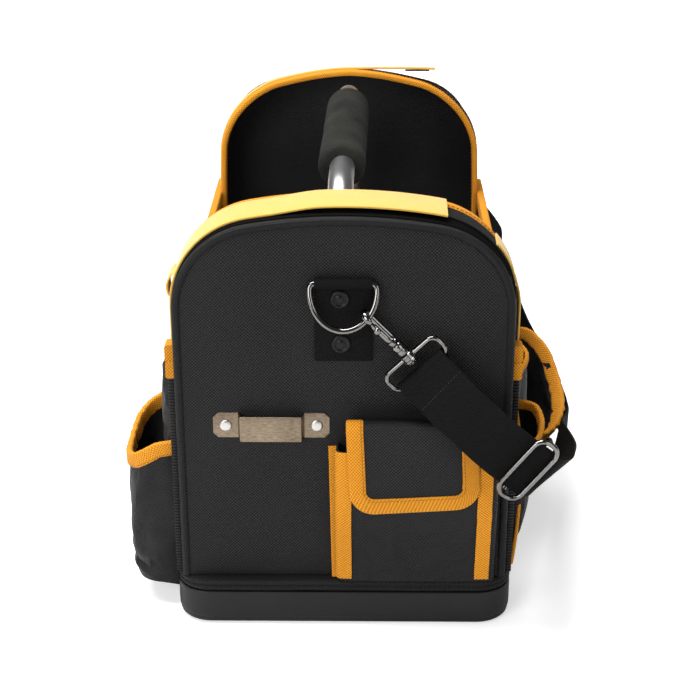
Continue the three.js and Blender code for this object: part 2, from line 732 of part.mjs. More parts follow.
function snapHook() {
  const half = HOOK_SLOT / 2;
  const shape = slotShape(0, HOOK_LENGTH, half + HOOK_BAR);
  shape.holes.push(slotShape(HOOK_BAR, HOOK_LENGTH - HOOK_BAR, half));
  const loop = extrude(shape, HOOK_THICKNESS).translate(0, 0, -HOOK_THICKNESS / 2).applyMatrix4(hookFrame);
  const mouth = box(
    at(GATE_START, half / 2, -HOOK_THICKNESS), at(GATE_END, HOOK_SLOT + HOOK_BAR, HOOK_THICKNESS),
  ).applyMatrix4(hookFrame);
  const barrel = roundPost(hookFrame, HOOK_LENGTH - HOOK_BAR / 2, barrelEnd, BARREL_DIAMETER / 2);
  const shank = roundPost(hookFrame, HOOK_LENGTH, headStart + GAP, SHANK_DIAMETER / 2);
  const head = roundPost(hookFrame, headStart, headStart + SHANK_HEAD_LENGTH, SHANK_HEAD / 2);
  return join(cut(loop, mouth), barrel, shank, head);
}

// The gate closes the hook's mouth and carries a raised thumb rest.
function hookGate() {
  const low = HOOK_SLOT / 2 + GAP;
  const high = low + GATE_THICKNESS;
  const shape = new THREE.Shape();
  shape.moveTo(GATE_START + GAP, low);
  shape.lineTo(GATE_END - GAP, low);
  shape.lineTo(GATE_END - GAP, high);
  shape.lineTo(GATE_START + GATE_THUMB_PLACE + GATE_THUMB_LENGTH, high);
  shape.lineTo(GATE_START + GATE_THUMB_PLACE, high + GATE_THUMB_HEIGHT);
  shape.lineTo(GATE_START + GATE_THUMB_PLACE - GATE_THUMB_LENGTH / 2, high);
  shape.lineTo(GATE_START + GAP, high);
  return extrude(shape, GATE_WIDTH).translate(0, 0, -GATE_WIDTH / 2).applyMatrix4(hookFrame);
}

function swivelEye() {
  const half = (EYE_LENGTH - EYE_WIRE) / 2;
  const corners = [EYE_CORNER, EYE_CORNER, EYE_CORNER, EYE_CORNER];
  const path = roundedShape(eyeTop, -half, eyeBar, half, corners);
  const points = pathPoints(path, CORNER_STEPS - 1).map((point) => hookPoint(point.x, 0, point.y));
  const frame = roundBar(points, hookOut, EYE_WIRE / 2, WIRE_SIDES, true);
  const boss = roundPost(hookFrame, bossStart, bossEnd, BOSS_DIAMETER / 2);
  const bore = roundPost(hookFrame, bossStart - GAP, bossEnd + GAP, SHANK_DIAMETER / 2 + GAP);
  return cut(join(frame, boss), bore);
}

addEnds("hook", snapHook(), NICKEL);
addEnds("gate", hookGate(), NICKEL);
addEnds("swivel_eye", swivelEye(), NICKEL);

// Shoulder strap: from the front eye through the slider and round the right side to the rear eye.
// Each point of its route has a lean: 0 stands the webbing's width upright, 1 turns it across the hook.

const leanWidth = hookAcross.clone().negate();
const strapPoint = (x, y, z, lean) => ({
  place: at(x, y, z),
  width: Z_AXIS.clone().lerp(leanWidth, lean).normalize(),
});

// The webbing turns round the eye's bar, from behind it over its top to its front.
function eyeTurn() {
  const middle = hookPoint(eyeBar, 0, 0);
  const radius = EYE_WIRE / 2 + STRAP_SLACK + STRAP_THICKNESS / 2;
  const turn = [];
  for (let step = 0; step <= CORNER_STEPS; step += 1) {
    const angle = THREE.MathUtils.lerp(-Math.PI / 2, -1.5 * Math.PI, step / CORNER_STEPS);
    const place = middle.clone().addScaledVector(hookAlong, radius * Math.cos(angle));
    turn.push({ place: place.addScaledVector(hookOut, radius * Math.sin(angle)), width: leanWidth });
  }
  return turn;
}

const flipEnd = ({ place, width }) => ({
  place: at(place.x, -place.y, place.z),
  width: at(width.x, -width.y, width.z),
});

const STRAP_POINTS = [
  strapPoint(66.5, -251, 200.7, 1),
  strapPoint(79, -258.5, 190, 1),
  strapPoint(92, -262, 178.9, 1),
  strapPoint(108, -264, 165.2, 1),
  strapPoint(128, -265, 148, 1),
  strapPoint(138, -263.5, 140.5, 1),
  strapPoint(145.5, -256, 137.5, 1),
  strapPoint(151, -237, 134, 0.95),
  strapPoint(158, -200, 120, 0.7),
  strapPoint(163, -150, 104, 0.4),
  strapPoint(168, -115, 92, 0.2),
  strapPoint(174, -90, 83, 0.1),
  strapPoint(181, -65, 76, 0.05),
  strapPoint(184.5, -40, 72, 0),
  strapPoint(183.5, 0, 72, 0),
  strapPoint(172, 40, 86, 0),
  strapPoint(161, 80, 100, 0),
  strapPoint(156, 110, 106, 0.05),
  strapPoint(150, 150, 115, 0.15),
  strapPoint(143, 180, 121, 0.25),
  strapPoint(139, 215, 128, 0.5),
  strapPoint(135, 246, 137.5, 0.85),
  strapPoint(123, 261, 150.5, 1),
  strapPoint(108, 261, 166, 1),
  strapPoint(90, 257, 182, 1),
  strapPoint(72, 251, 197, 1),
];
const turnCount = CORNER_STEPS + 1;
const strapRoute = [...eyeTurn(), ...STRAP_POINTS, ...eyeTurn().reverse().map(flipEnd)];
const strapCurve = (list) => new THREE.CatmullRomCurve3(list, false, "centripetal");
const strapPlaces = strapCurve(strapRoute.map((point) => point.place));
const strapWidths = strapCurve(strapRoute.map((point) => point.width));

// The webbing at one place of the route, counted in points: its middle, its run, width and face.
function strapAt(index) {
  const share = index / (strapRoute.length - 1);
  const place = strapPlaces.getPoint(share);
  const along = strapPlaces.getTangent(share);
  const face = strapWidths.getPoint(share).cross(along).normalize();
  return { place, along, face, width: along.clone().cross(face).normalize() };
}

function strapPiece(from, to) {
  const rings = [];
  const steps = Math.ceil(STRAP_STEPS * (to - from));
  for (let step = 0; step <= steps; step += 1) {
    const { place, width, face } = strapAt(THREE.MathUtils.lerp(from, to, step / steps));
    const corners = [[-1, -1], [1, -1], [1, 1], [-1, 1]];
    rings.push(corners.map(([wide, thick]) => place.clone()
      .addScaledVector(width, (wide * STRAP_WIDTH) / 2)
      .addScaledVector(face, (thick * STRAP_THICKNESS) / 2)));
  }
  return loft(rings);
}

// Slider: an oblong frame in front of the webbing and a middle bar behind it
function strapSlider() {
  const { place, along, face, width } = strapAt(turnCount + SLIDER_PLACE);
  const frame = new THREE.Matrix4().makeBasis(width, face, width.clone().cross(face));
  frame.setPosition(place);
  const local = (wide, out, run) => at(wide, out, run).applyMatrix4(frame);
  const lift = Math.sign(face.dot(hookOut)) * (STRAP_THICKNESS / 2 + STRAP_SLACK + SLIDER_WIRE / 2);
  const [halfRun, halfWide] = [(SLIDER_WIDTH - SLIDER_WIRE) / 2, (SLIDER_LENGTH - SLIDER_WIRE) / 2];
  const corners = [SLIDER_CORNER, SLIDER_CORNER, SLIDER_CORNER, SLIDER_CORNER];
  const outline = roundedShape(-halfWide, -halfRun, halfWide, halfRun, corners);
  const points = pathPoints(outline, CORNER_STEPS - 1).map((point) => local(point.x, lift, point.y));
  const oblong = roundBar(points, face, SLIDER_WIRE / 2, WIRE_SIDES, true);
  const bar = [[-halfWide, lift], [-halfWide, -lift], [halfWide, -lift], [halfWide, lift]]
    .map(([wide, out]) => local(wide, out, 0));
  return join(oblong, roundBar(bar, along, SLIDER_WIRE / 2, WIRE_SIDES, false));
}

const strapSplit = turnCount + STRAP_SPLIT;
add("strap_front", strapPiece(0, strapSplit), WEBBING);
add("strap_main", strapPiece(strapSplit + STRAP_SPLIT_GAP, strapRoute.length - 1), WEBBING);
add("strap_slider", strapSlider(), NICKEL);

// Tape-measure clip: a pressed steel bridge with a riveted tab at each end

function tapeClip() {
  const [left, right] = [CLIP_LEFT, CLIP_LEFT + CLIP_LENGTH];
  const [inner, outer] = [GAP, GAP + CLIP_SHEET];
  const [rise, top] = [GAP + CLIP_RISE - CLIP_SHEET, GAP + CLIP_RISE];
  const shape = new THREE.Shape();
  shape.moveTo(left, inner);
  shape.lineTo(left + CLIP_TAB, inner);
  shape.lineTo(left + CLIP_TAB + CLIP_RAMP, rise);
  shape.lineTo(right - CLIP_TAB - CLIP_RAMP, rise);
  shape.lineTo(right - CLIP_TAB, inner);
  shape.lineTo(right, inner);
  shape.lineTo(right, outer);
  shape.lineTo(right - CLIP_TAB + CLIP_SHEET, outer);
  shape.lineTo(right - CLIP_TAB - CLIP_RAMP + CLIP_SHEET, top);
  shape.lineTo(left + CLIP_TAB + CLIP_RAMP - CLIP_SHEET, top);
  shape.lineTo(left + CLIP_TAB - CLIP_SHEET, outer);
  shape.lineTo(left, outer);
  const basis = new THREE.Matrix4().makeBasis(X_AXIS, hookOut, Z_AXIS.clone().negate());
  basis.setPosition(0, FRONT_FACE, CLIP_HEIGHT + CLIP_WIDTH / 2);
  return extrude(shape, CLIP_WIDTH).applyMatrix4(basis);
}

// A rivet's head, turned from its domed profile.
function clipRivet(x) {
  const profile = [[0, 0], [1, 0], [1, 0.4], [0.7, 0.85], [0, 1]].map(
    ([out, up]) => new THREE.Vector2((out * CLIP_RIVET) / 2, up * CLIP_RIVET_HEIGHT),
  );
  const head = new THREE.LatheGeometry(profile, ROUND_SIDES).rotateX(Math.PI);
  return head.translate(x, FRONT_FACE - GAP - CLIP_SHEET - GAP, CLIP_HEIGHT);
}

add("tape_clip", tapeClip(), CLIP_STEEL);
add("clip_rivet_left", clipRivet(CLIP_LEFT + CLIP_TAB / 2), NICKEL);
add("clip_rivet_right", clipRivet(CLIP_LEFT + CLIP_LENGTH - CLIP_TAB / 2), NICKEL);

// Front pouch with its edge bands, top strip, flap and flap band

const pouchBack = FRONT_FACE - GAP;
const pouchFront = pouchBack - POUCH_DEPTH;
const bandBack = pouchFront - GAP;
const bandFront = bandBack - BINDING_THICKNESS;
const flapBack = bandFront - GAP;
const flapFront = flapBack - FLAP_THICKNESS;

function frontPouch() {
  const outline = (inset) => roundedShape(
    POUCH_LEFT + inset, pouchFront + inset, POUCH_RIGHT - inset, pouchBack - inset,
    [POUCH_CORNER - inset, POUCH_CORNER - inset, 0, 0],
  );
  const outer = extrude(outline(0), POUCH_TOP - POUCH_BOTTOM).translate(0, 0, POUCH_BOTTOM);
  const inner = extrude(outline(POUCH_WALL), POUCH_TOP).translate(0, 0, POUCH_BOTTOM + POUCH_WALL);
  return cut(outer, inner);
}

function pouchBand(left, right) {
  return box(at(left, bandFront, POUCH_BOTTOM), at(right, bandBack, POUCH_TOP));
}

// The strip that closes the pouch's top runs out from the panel to the flap's fold.
function flapTop() {
  const low = at(FLAP_LEFT, bandFront, FLAP_TOP - FLAP_THICKNESS);
  return box(low, at(FLAP_RIGHT, pouchBack, FLAP_TOP));
}

const flapOutline = (inset, top) => roundedShape(
  FLAP_LEFT + inset, FLAP_BOTTOM + inset, FLAP_RIGHT - inset, top,
  [FLAP_CORNER - inset, FLAP_CORNER - inset, 0, 0],
);

function pouchFlap() {
  return uprightPlate(flapOutline(0, FLAP_TOP), flapBack, FLAP_THICKNESS);
}

function flapBinding() {
  const top = FLAP_TOP - FLAP_FOLD;
  const whole = uprightPlate(flapOutline(0, top), flapFront - GAP, BINDING_THICKNESS);
  const window = uprightPlate(flapOutline(FLAP_BAND, top + REACH), flapFront, BINDING_THICKNESS + 2 * GAP);
  return cut(whole, window);
}

add("front_pouch", frontPouch(), BALLISTIC);
add("pouch_band_left", pouchBand(POUCH_LEFT + GAP, POUCH_LEFT + POUCH_LEFT_BAND), BINDING);
add("pouch_band_right", pouchBand(POUCH_RIGHT - POUCH_RIGHT_BAND, POUCH_RIGHT - POUCH_CORNER / 2), BINDING);
add("flap_top", flapTop(), BALLISTIC);
add("pouch_flap", pouchFlap(), BALLISTIC);
add("pouch_flap_binding", flapBinding(), BINDING);

// Pouches on the side walls: half-oval in plan, open at a mouth that slopes down to the lip

// The half-oval plan of a pouch, let out by an amount; its flat side stays off the wall.
function pouchPlan({ middle, width, depth }, letOut, flat) {
  const shape = new THREE.Shape();
  const half = width / 2 + letOut;
  const reach = depth + letOut - flat;
  const x = WALL_FACE + GAP + flat;
  const points = [];
  for (let step = 0; step <= LIP_STEPS; step += 1) {
    const angle = THREE.MathUtils.lerp(-Math.PI / 2, Math.PI / 2, step / LIP_STEPS);
    points.push(new THREE.Vector2(x + reach * Math.cos(angle), middle + half * Math.sin(angle)));
  }
  return shape.setFromPoints(points);
}

// A block above the sloping plane of the mouth, raised along Z.
function aboveMouth({ middle, depth, mouth, drop }, raise) {
  const block = box(at(-REACH, -REACH, 0), at(REACH, REACH, REACH));
  block.rotateY(Math.atan2(drop, depth));
  return block.translate(WALL_FACE + GAP, middle, mouth + raise);
}

function pouchTube(pouch, letOut, letIn, flats, bottoms) {
  const [outerFlat, innerFlat] = flats;
  const [bottom, floor] = bottoms;
  const outer = extrude(pouchPlan(pouch, letOut, outerFlat), REACH).translate(0, 0, bottom);
  const inner = extrude(pouchPlan(pouch, -letIn, innerFlat), REACH + GAP).translate(0, 0, floor);
  return cut(outer, inner);
}

function sidePouch(pouch) {
  const { bottom } = pouch;
  const tube = pouchTube(pouch, 0, POUCH_WALL, [0, POUCH_WALL], [bottom, bottom + POUCH_WALL]);
  return cut(tube, aboveMouth(pouch, 0));
}

// A folded band over the pouch's lip, clear of the wall behind it.
function mouthBinding(pouch) {
  const { mouth, drop } = pouch;
  const grow = BINDING_THICKNESS + GAP;
  const low = mouth - drop - BINDING_WIDTH - GAP;
  const flat = POUCH_WALL + GAP;
  const band = pouchTube(pouch, grow, POUCH_WALL + grow, [flat, flat - GAP], [low, low - GAP]);
  const lip = pouchTube(pouch, GAP, POUCH_WALL + GAP, [0, 0], [low - GAP, low - 2 * GAP]);
  const groove = cut(lip, aboveMouth(pouch, GAP));
  const trimmed = cut(band, aboveMouth(pouch, grow), groove);
  const below = aboveMouth(pouch, -BINDING_WIDTH - REACH * Math.hypot(1, drop / pouch.depth));
  return cut(trimmed, below);
}

for (const [name, pouch] of Object.entries(SIDE_POUCHES)) {
  const place = (geometry) => (pouch.side < 0 ? mirrored(geometry, "x") : geometry);
  add(name, place(sidePouch(pouch)), BALLISTIC);
  if (BOUND_POUCHES.includes(name)) add(`${name}_binding`, place(mouthBinding(pouch)), BINDING);
}

export default tote;
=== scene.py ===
# %% [markdown]
# A tool tote, dressed piece by piece.
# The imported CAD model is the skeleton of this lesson: it fixes every size, joint and place.
# Each step takes one piece of the real bag, says how it is sewn, bent or moulded, and builds it here.

# %% Load the frame
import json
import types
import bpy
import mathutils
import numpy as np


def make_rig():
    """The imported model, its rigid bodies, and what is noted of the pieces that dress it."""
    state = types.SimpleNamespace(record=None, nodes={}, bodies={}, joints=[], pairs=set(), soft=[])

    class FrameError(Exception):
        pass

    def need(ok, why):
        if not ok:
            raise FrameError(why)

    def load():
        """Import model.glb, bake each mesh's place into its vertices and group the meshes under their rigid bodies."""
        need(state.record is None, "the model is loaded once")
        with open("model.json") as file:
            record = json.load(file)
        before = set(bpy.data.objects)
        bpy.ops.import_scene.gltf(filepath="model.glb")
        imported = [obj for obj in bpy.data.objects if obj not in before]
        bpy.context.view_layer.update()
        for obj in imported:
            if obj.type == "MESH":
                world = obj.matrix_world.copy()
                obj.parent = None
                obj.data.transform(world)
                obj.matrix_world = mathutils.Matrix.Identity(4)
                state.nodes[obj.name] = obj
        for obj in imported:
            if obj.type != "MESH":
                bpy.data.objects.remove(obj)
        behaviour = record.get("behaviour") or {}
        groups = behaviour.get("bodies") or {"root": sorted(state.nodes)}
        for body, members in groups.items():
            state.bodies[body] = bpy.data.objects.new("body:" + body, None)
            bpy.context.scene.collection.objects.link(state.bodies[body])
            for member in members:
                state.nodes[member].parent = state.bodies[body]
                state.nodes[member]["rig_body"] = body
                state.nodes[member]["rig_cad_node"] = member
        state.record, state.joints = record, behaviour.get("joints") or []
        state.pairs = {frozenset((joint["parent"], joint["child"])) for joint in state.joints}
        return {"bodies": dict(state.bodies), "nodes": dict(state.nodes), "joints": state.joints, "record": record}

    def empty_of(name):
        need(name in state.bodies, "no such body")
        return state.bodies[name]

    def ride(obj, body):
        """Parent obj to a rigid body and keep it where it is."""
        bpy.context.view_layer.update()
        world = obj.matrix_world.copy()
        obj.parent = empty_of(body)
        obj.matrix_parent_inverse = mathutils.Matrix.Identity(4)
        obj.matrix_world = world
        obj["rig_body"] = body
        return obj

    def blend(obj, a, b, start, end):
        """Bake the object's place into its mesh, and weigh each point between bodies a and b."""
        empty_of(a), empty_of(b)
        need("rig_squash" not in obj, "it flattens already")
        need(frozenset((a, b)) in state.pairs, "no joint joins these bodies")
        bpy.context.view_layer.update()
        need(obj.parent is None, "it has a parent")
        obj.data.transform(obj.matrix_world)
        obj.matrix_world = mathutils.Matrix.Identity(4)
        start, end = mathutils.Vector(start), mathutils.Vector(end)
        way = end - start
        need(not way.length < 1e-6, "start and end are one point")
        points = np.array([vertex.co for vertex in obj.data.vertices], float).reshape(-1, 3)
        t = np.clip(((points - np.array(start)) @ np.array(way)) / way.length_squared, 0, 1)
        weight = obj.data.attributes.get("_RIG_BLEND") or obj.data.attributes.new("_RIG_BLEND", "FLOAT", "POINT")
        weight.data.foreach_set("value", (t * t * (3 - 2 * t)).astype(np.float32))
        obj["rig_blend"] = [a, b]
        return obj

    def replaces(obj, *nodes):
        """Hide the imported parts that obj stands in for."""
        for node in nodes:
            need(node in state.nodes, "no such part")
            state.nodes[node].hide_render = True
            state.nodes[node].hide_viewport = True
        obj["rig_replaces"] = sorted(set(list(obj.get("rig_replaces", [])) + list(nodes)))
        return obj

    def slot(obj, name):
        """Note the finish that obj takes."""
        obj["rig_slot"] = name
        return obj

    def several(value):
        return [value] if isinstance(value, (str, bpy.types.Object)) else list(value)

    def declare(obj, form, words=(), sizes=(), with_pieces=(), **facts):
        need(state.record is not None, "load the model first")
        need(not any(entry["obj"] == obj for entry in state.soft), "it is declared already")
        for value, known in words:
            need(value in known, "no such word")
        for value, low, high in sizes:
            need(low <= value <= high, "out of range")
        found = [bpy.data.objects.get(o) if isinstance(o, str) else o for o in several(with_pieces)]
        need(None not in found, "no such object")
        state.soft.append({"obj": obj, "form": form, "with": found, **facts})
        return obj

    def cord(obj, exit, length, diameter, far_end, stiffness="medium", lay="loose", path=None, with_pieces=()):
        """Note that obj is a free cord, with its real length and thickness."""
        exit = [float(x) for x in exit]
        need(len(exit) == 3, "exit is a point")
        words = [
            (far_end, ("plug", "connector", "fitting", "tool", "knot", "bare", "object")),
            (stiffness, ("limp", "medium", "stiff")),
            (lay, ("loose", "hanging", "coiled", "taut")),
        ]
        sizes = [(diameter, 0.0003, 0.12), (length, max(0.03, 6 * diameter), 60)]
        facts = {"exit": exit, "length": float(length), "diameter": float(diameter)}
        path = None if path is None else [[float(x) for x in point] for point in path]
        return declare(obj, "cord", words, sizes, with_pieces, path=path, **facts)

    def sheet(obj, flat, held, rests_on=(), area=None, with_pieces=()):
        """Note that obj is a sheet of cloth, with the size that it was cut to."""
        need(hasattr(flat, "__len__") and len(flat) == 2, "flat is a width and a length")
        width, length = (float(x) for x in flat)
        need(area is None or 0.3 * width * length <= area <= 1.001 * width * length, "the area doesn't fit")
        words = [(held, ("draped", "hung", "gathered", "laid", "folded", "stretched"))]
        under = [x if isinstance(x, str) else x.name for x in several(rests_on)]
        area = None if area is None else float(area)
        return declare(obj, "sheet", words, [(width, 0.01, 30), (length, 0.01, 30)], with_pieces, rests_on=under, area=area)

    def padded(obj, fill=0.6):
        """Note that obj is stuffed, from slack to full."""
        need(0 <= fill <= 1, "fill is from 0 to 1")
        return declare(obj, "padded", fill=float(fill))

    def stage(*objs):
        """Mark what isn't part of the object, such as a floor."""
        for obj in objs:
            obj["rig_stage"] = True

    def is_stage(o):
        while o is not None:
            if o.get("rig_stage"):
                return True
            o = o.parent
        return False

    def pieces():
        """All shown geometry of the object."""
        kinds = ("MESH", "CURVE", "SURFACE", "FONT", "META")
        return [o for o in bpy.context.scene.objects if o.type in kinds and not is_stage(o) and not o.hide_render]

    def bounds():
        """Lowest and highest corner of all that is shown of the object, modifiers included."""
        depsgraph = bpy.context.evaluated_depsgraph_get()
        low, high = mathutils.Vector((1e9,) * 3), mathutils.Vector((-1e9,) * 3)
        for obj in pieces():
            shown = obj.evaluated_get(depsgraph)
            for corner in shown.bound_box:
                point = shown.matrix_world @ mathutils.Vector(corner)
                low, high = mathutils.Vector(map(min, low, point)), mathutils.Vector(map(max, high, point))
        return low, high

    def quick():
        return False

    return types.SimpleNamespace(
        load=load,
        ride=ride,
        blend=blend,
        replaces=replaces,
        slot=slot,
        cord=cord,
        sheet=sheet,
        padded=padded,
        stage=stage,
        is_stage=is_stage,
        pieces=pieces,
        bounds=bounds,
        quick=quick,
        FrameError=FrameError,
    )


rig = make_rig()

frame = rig.load()
import json
import math

import bmesh
import bpy
from mathutils import Vector, noise

MM = 0.001
cad_low, cad_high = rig.bounds()
hinges = {joint["name"]: joint for joint in frame["joints"]}
print("CAD box", [round(v, 3) for v in cad_low], [round(v, 3) for v in cad_high])

# %% [markdown]
# The camera stands in front of the bag's end, a little above it, and looks down into the open top.
# Its place was worked out by fitting the end panel, the base and the far rim to the picture.
# A long lens keeps the far end nearly as large as the near one, so the lens matters as much as the place.

# %% Camera
CAMERA_PLACE = Vector((14.5, -1257.4, 658.9)) * MM
CAMERA_PITCH = math.radians(23.07)
CAMERA_YAW = math.radians(-0.55)
FOCAL_PIXELS = 1598.2
FRAME_PIXELS = 700
SENSOR = 36.0

lens = bpy.data.cameras.new("front_view")
lens.sensor_width = SENSOR
lens.lens = FOCAL_PIXELS / FRAME_PIXELS * SENSOR
camera = bpy.data.objects.new("front_view", lens)
bpy.context.scene.collection.objects.link(camera)
gaze = Vector((
    math.sin(CAMERA_YAW) * math.cos(CAMERA_PITCH),
    math.cos(CAMERA_YAW) * math.cos(CAMERA_PITCH),
    -math.sin(CAMERA_PITCH),
))
camera.location = CAMERA_PLACE
camera.rotation_mode = "QUATERNION"
camera.rotation_quaternion = gaze.to_track_quat("-Z", "Y")
bpy.context.scene.camera = camera
bpy.context.scene.view_settings.view_transform = "Standard"
print("lens", round(lens.lens, 1), "mm")

# %% [markdown]
# A shader is a small network, so one helper that makes a node and plugs in its sockets keeps every
# finish short. Values that are the same all over go straight into the shader's own sockets.

# %% Node helpers
TURN = 2 * math.pi


def node(tree, kind, sockets, **settings):
    made = tree.nodes.new(kind)
    for key, value in settings.items():
        setattr(made, key, value)
    for key, value in sockets.items():
        if isinstance(value, bpy.types.NodeSocket):
            tree.links.new(value, made.inputs[key])
        else:
            made.inputs[key].default_value = value
    return made


def math_node(tree, operation, *values):
    return node(tree, "ShaderNodeMath", dict(enumerate(values)), operation=operation).outputs[0]


def shader(name, roughness, metallic=0.0):
    material = bpy.data.materials.new(name)
    material.use_nodes = True
    tree = material.node_tree
    base = tree.nodes["Principled BSDF"]
    base.inputs["Roughness"].default_value = roughness
    base.inputs["Metallic"].default_value = metallic
    return material, tree, base


print("materials before the first finish", len(bpy.data.materials))

# %% [markdown]
# The floor is a pale sweep that keeps the bag's soft shadow, and the background is plain white.
# Light Path tells the two apart: rays from the camera see white, all other rays see a dim grey, so the
# white is not bought with more light on the bag. Mirrored rays see a darker grey still, which gives
# plated steel its dark bands.

# %% Stage and light
FLOOR_SIZE = 30.0
FLOOR_LIFT = 0.52
WORLD_LEVEL = 0.3
MIRROR_LEVEL = 0.08
LAMPS = {
    "overhead": {"place": (-0.55, 0.1, 2.1), "size": 1.6, "power": 78},
    "front_left": {"place": (-1.3, -2.0, 1.1), "size": 1.4, "power": 30},
    "front_right": {"place": (1.5, -1.9, 0.9), "size": 1.2, "power": 9},
}
AIM = Vector((0, 0, 0.16))


def seen_directly(tree):
    path = node(tree, "ShaderNodeLightPath", {}).outputs
    return math_node(tree, "MAXIMUM", path["Is Camera Ray"], path["Is Transmission Ray"])


world = bpy.data.worlds.new("studio")
bpy.context.scene.world = world
world.use_nodes = True
sky = world.node_tree
strength = math_node(sky, "MULTIPLY_ADD", seen_directly(sky), 1.0 - WORLD_LEVEL, WORLD_LEVEL)
mirrored = node(sky, "ShaderNodeLightPath", {}).outputs["Is Glossy Ray"]
strength = math_node(sky, "MULTIPLY_ADD", mirrored, MIRROR_LEVEL - WORLD_LEVEL, strength)
sky.links.new(strength, sky.nodes["Background"].inputs["Strength"])
sky.nodes["Background"].inputs["Color"].default_value = (1, 1, 1, 1)

bpy.ops.mesh.primitive_plane_add(size=FLOOR_SIZE)
floor = bpy.context.object
floor.name = "floor"
pale, pale_tree, pale_base = shader("pale_floor", 0.9)
pale_base.inputs["Base Color"].default_value = (0.8, 0.8, 0.8, 1)
pale_base.inputs["Emission Color"].default_value = (1, 1, 1, 1)
lift = math_node(pale_tree, "MULTIPLY", seen_directly(pale_tree), FLOOR_LIFT)
pale_tree.links.new(lift, pale_base.inputs["Emission Strength"])
floor.data.materials.append(pale)
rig.stage(floor)

for name, facts in LAMPS.items():
    lamp = bpy.data.lights.new(name, "AREA")
    lamp.size = facts["size"]
    lamp.energy = facts["power"]
    holder = bpy.data.objects.new(name, lamp)
    holder.location = facts["place"]
    holder.rotation_mode = "QUATERNION"
    holder.rotation_quaternion = (AIM - holder.location).to_track_quat("-Z", "Y")
    bpy.context.scene.collection.objects.link(holder)
print("lamps", ", ".join(LAMPS))

# %% [markdown]
# Cloth is seen by its weave. Every sheet below carries a flat map in millimetres, so a sine wave
# along that map is a row of yarns, and two waves multiplied are the bumps of a basket weave.
# The same bumps also set the colour: painted shade in the hollows and a painted highlight on the crowns.
# Slow noise over the whole piece stands for handling, dust and uneven dye.

# %% Fabric finishes


def yarns(tree, coordinate, axis, pitch):
    part = node(tree, "ShaderNodeSeparateXYZ", {0: coordinate}).outputs[axis]
    return math_node(tree, "SINE", math_node(tree, "MULTIPLY", part, TURN / pitch))


def cloudy(tree, scale):
    place = node(tree, "ShaderNodeTexCoord", {}).outputs["Object"]
    return node(tree, "ShaderNodeTexNoise", {"Vector": place, "Scale": scale, "Detail": 3.0}).outputs[0]


def ramp(tree, factor, *stops):
    made = node(tree, "ShaderNodeValToRGB", {"Fac": factor})
    elements = made.color_ramp.elements
    while len(elements) < len(stops):
        elements.new(0.5)
    for element, (place, colour) in zip(elements, stops):
        element.position = place
        element.color = (*colour, 1)
    return made.outputs[0]


def relief(tree, base, height, depth):
    bump = node(tree, "ShaderNodeBump", {"Height": height, "Distance": depth * MM, "Strength": 1.0})
    tree.links.new(bump.outputs[0], base.inputs["Normal"])


def woven(name, pitches, dark, light, depth, roughness, sheen, shade=0.35, gloss=0.25, painted_weave_light=0.55):
    """A cloth of crossing yarns, with painted shade in the hollows and a painted highlight on the crowns."""
    material, tree, base = shader(name, roughness)
    flat = node(tree, "ShaderNodeTexCoord", {}).outputs["UV"]
    first = yarns(tree, flat, 0, pitches[0])
    second = yarns(tree, flat, 1, pitches[1])
    weave = math_node(tree, "MULTIPLY_ADD", math_node(tree, "MULTIPLY", first, second), 0.5, 0.5)
    fuzz = cloudy(tree, 900.0)
    tone = math_node(tree, "MULTIPLY_ADD", cloudy(tree, 9.0), shade, math_node(tree, "MULTIPLY", fuzz, 0.3))
    # The weave's share of the colour is painted shade in the yarn hollows and a painted highlight on the yarn crowns.
    painted_weave_and_tone = math_node(tree, "MULTIPLY_ADD", weave, painted_weave_light, math_node(tree, "SUBTRACT", tone, painted_weave_light / 2 - 0.175))
    tree.links.new(ramp(tree, painted_weave_and_tone, (0.1, dark), (0.95, light)), base.inputs["Base Color"])
    base.inputs["Sheen Weight"].default_value = sheen
    base.inputs["Sheen Roughness"].default_value = 0.45
    base.inputs["Specular IOR Level"].default_value = gloss
    height = math_node(tree, "MULTIPLY_ADD", fuzz, 0.3, weave)
    relief(tree, base, height, depth)
    return material


# In each cloth below, the dark colour is the painted shade of the weave's hollows and the light colour is the painted
# highlight on its crowns.
BALLISTIC = woven("ballistic_nylon", (2.4, 2.4), (0.0005, 0.0005, 0.0006), (0.027, 0.0262, 0.0285),
                  0.45, 0.5, 0.0, gloss=0.16, painted_weave_light=1.0)
LINING = woven("black_lining", (1.4, 1.4), (0.001, 0.001, 0.001), (0.004, 0.004, 0.0038),
               0.15, 0.85, 0.0, gloss=0.06)
BINDING = woven("edge_tape", (2.2, 2.6), (0.4, 0.12, 0.002), (0.93, 0.41, 0.022),
                0.4, 0.75, 0.03, shade=0.25, painted_weave_light=0.9)
TOP_WEBBING = woven("yellow_webbing", (1.9, 2.2), (0.68, 0.36, 0.03), (0.86, 0.58, 0.11),
                    0.45, 0.6, 0.6, shade=0.25, painted_weave_light=0.9)
WEBBING = woven("black_webbing", (1.3, 2.4), (0.001, 0.001, 0.001), (0.008, 0.0078, 0.008),
                0.35, 0.7, 0.0, gloss=0.1)
PIPING = woven("piping_tape", (1.5, 3.6), (0.001, 0.001, 0.001), (0.014, 0.014, 0.015),
               0.4, 0.5, 0.0, gloss=0.2)
NAPPED = woven("hook_and_loop", (1.1, 1.1), (0.002, 0.002, 0.002), (0.022, 0.022, 0.023),
               0.6, 0.9, 0.05, gloss=0.1)
YELLOW_THREAD = woven("yellow_thread", (0.5, 0.5), (0.22, 0.07, 0.002), (0.45, 0.17, 0.01), 0.05, 0.6, 0.0)
BLACK_THREAD = woven("black_thread", (0.5, 0.5), (0.004, 0.004, 0.004), (0.03, 0.03, 0.03), 0.05, 0.6, 0.0)
print("cloths", len(bpy.data.materials))
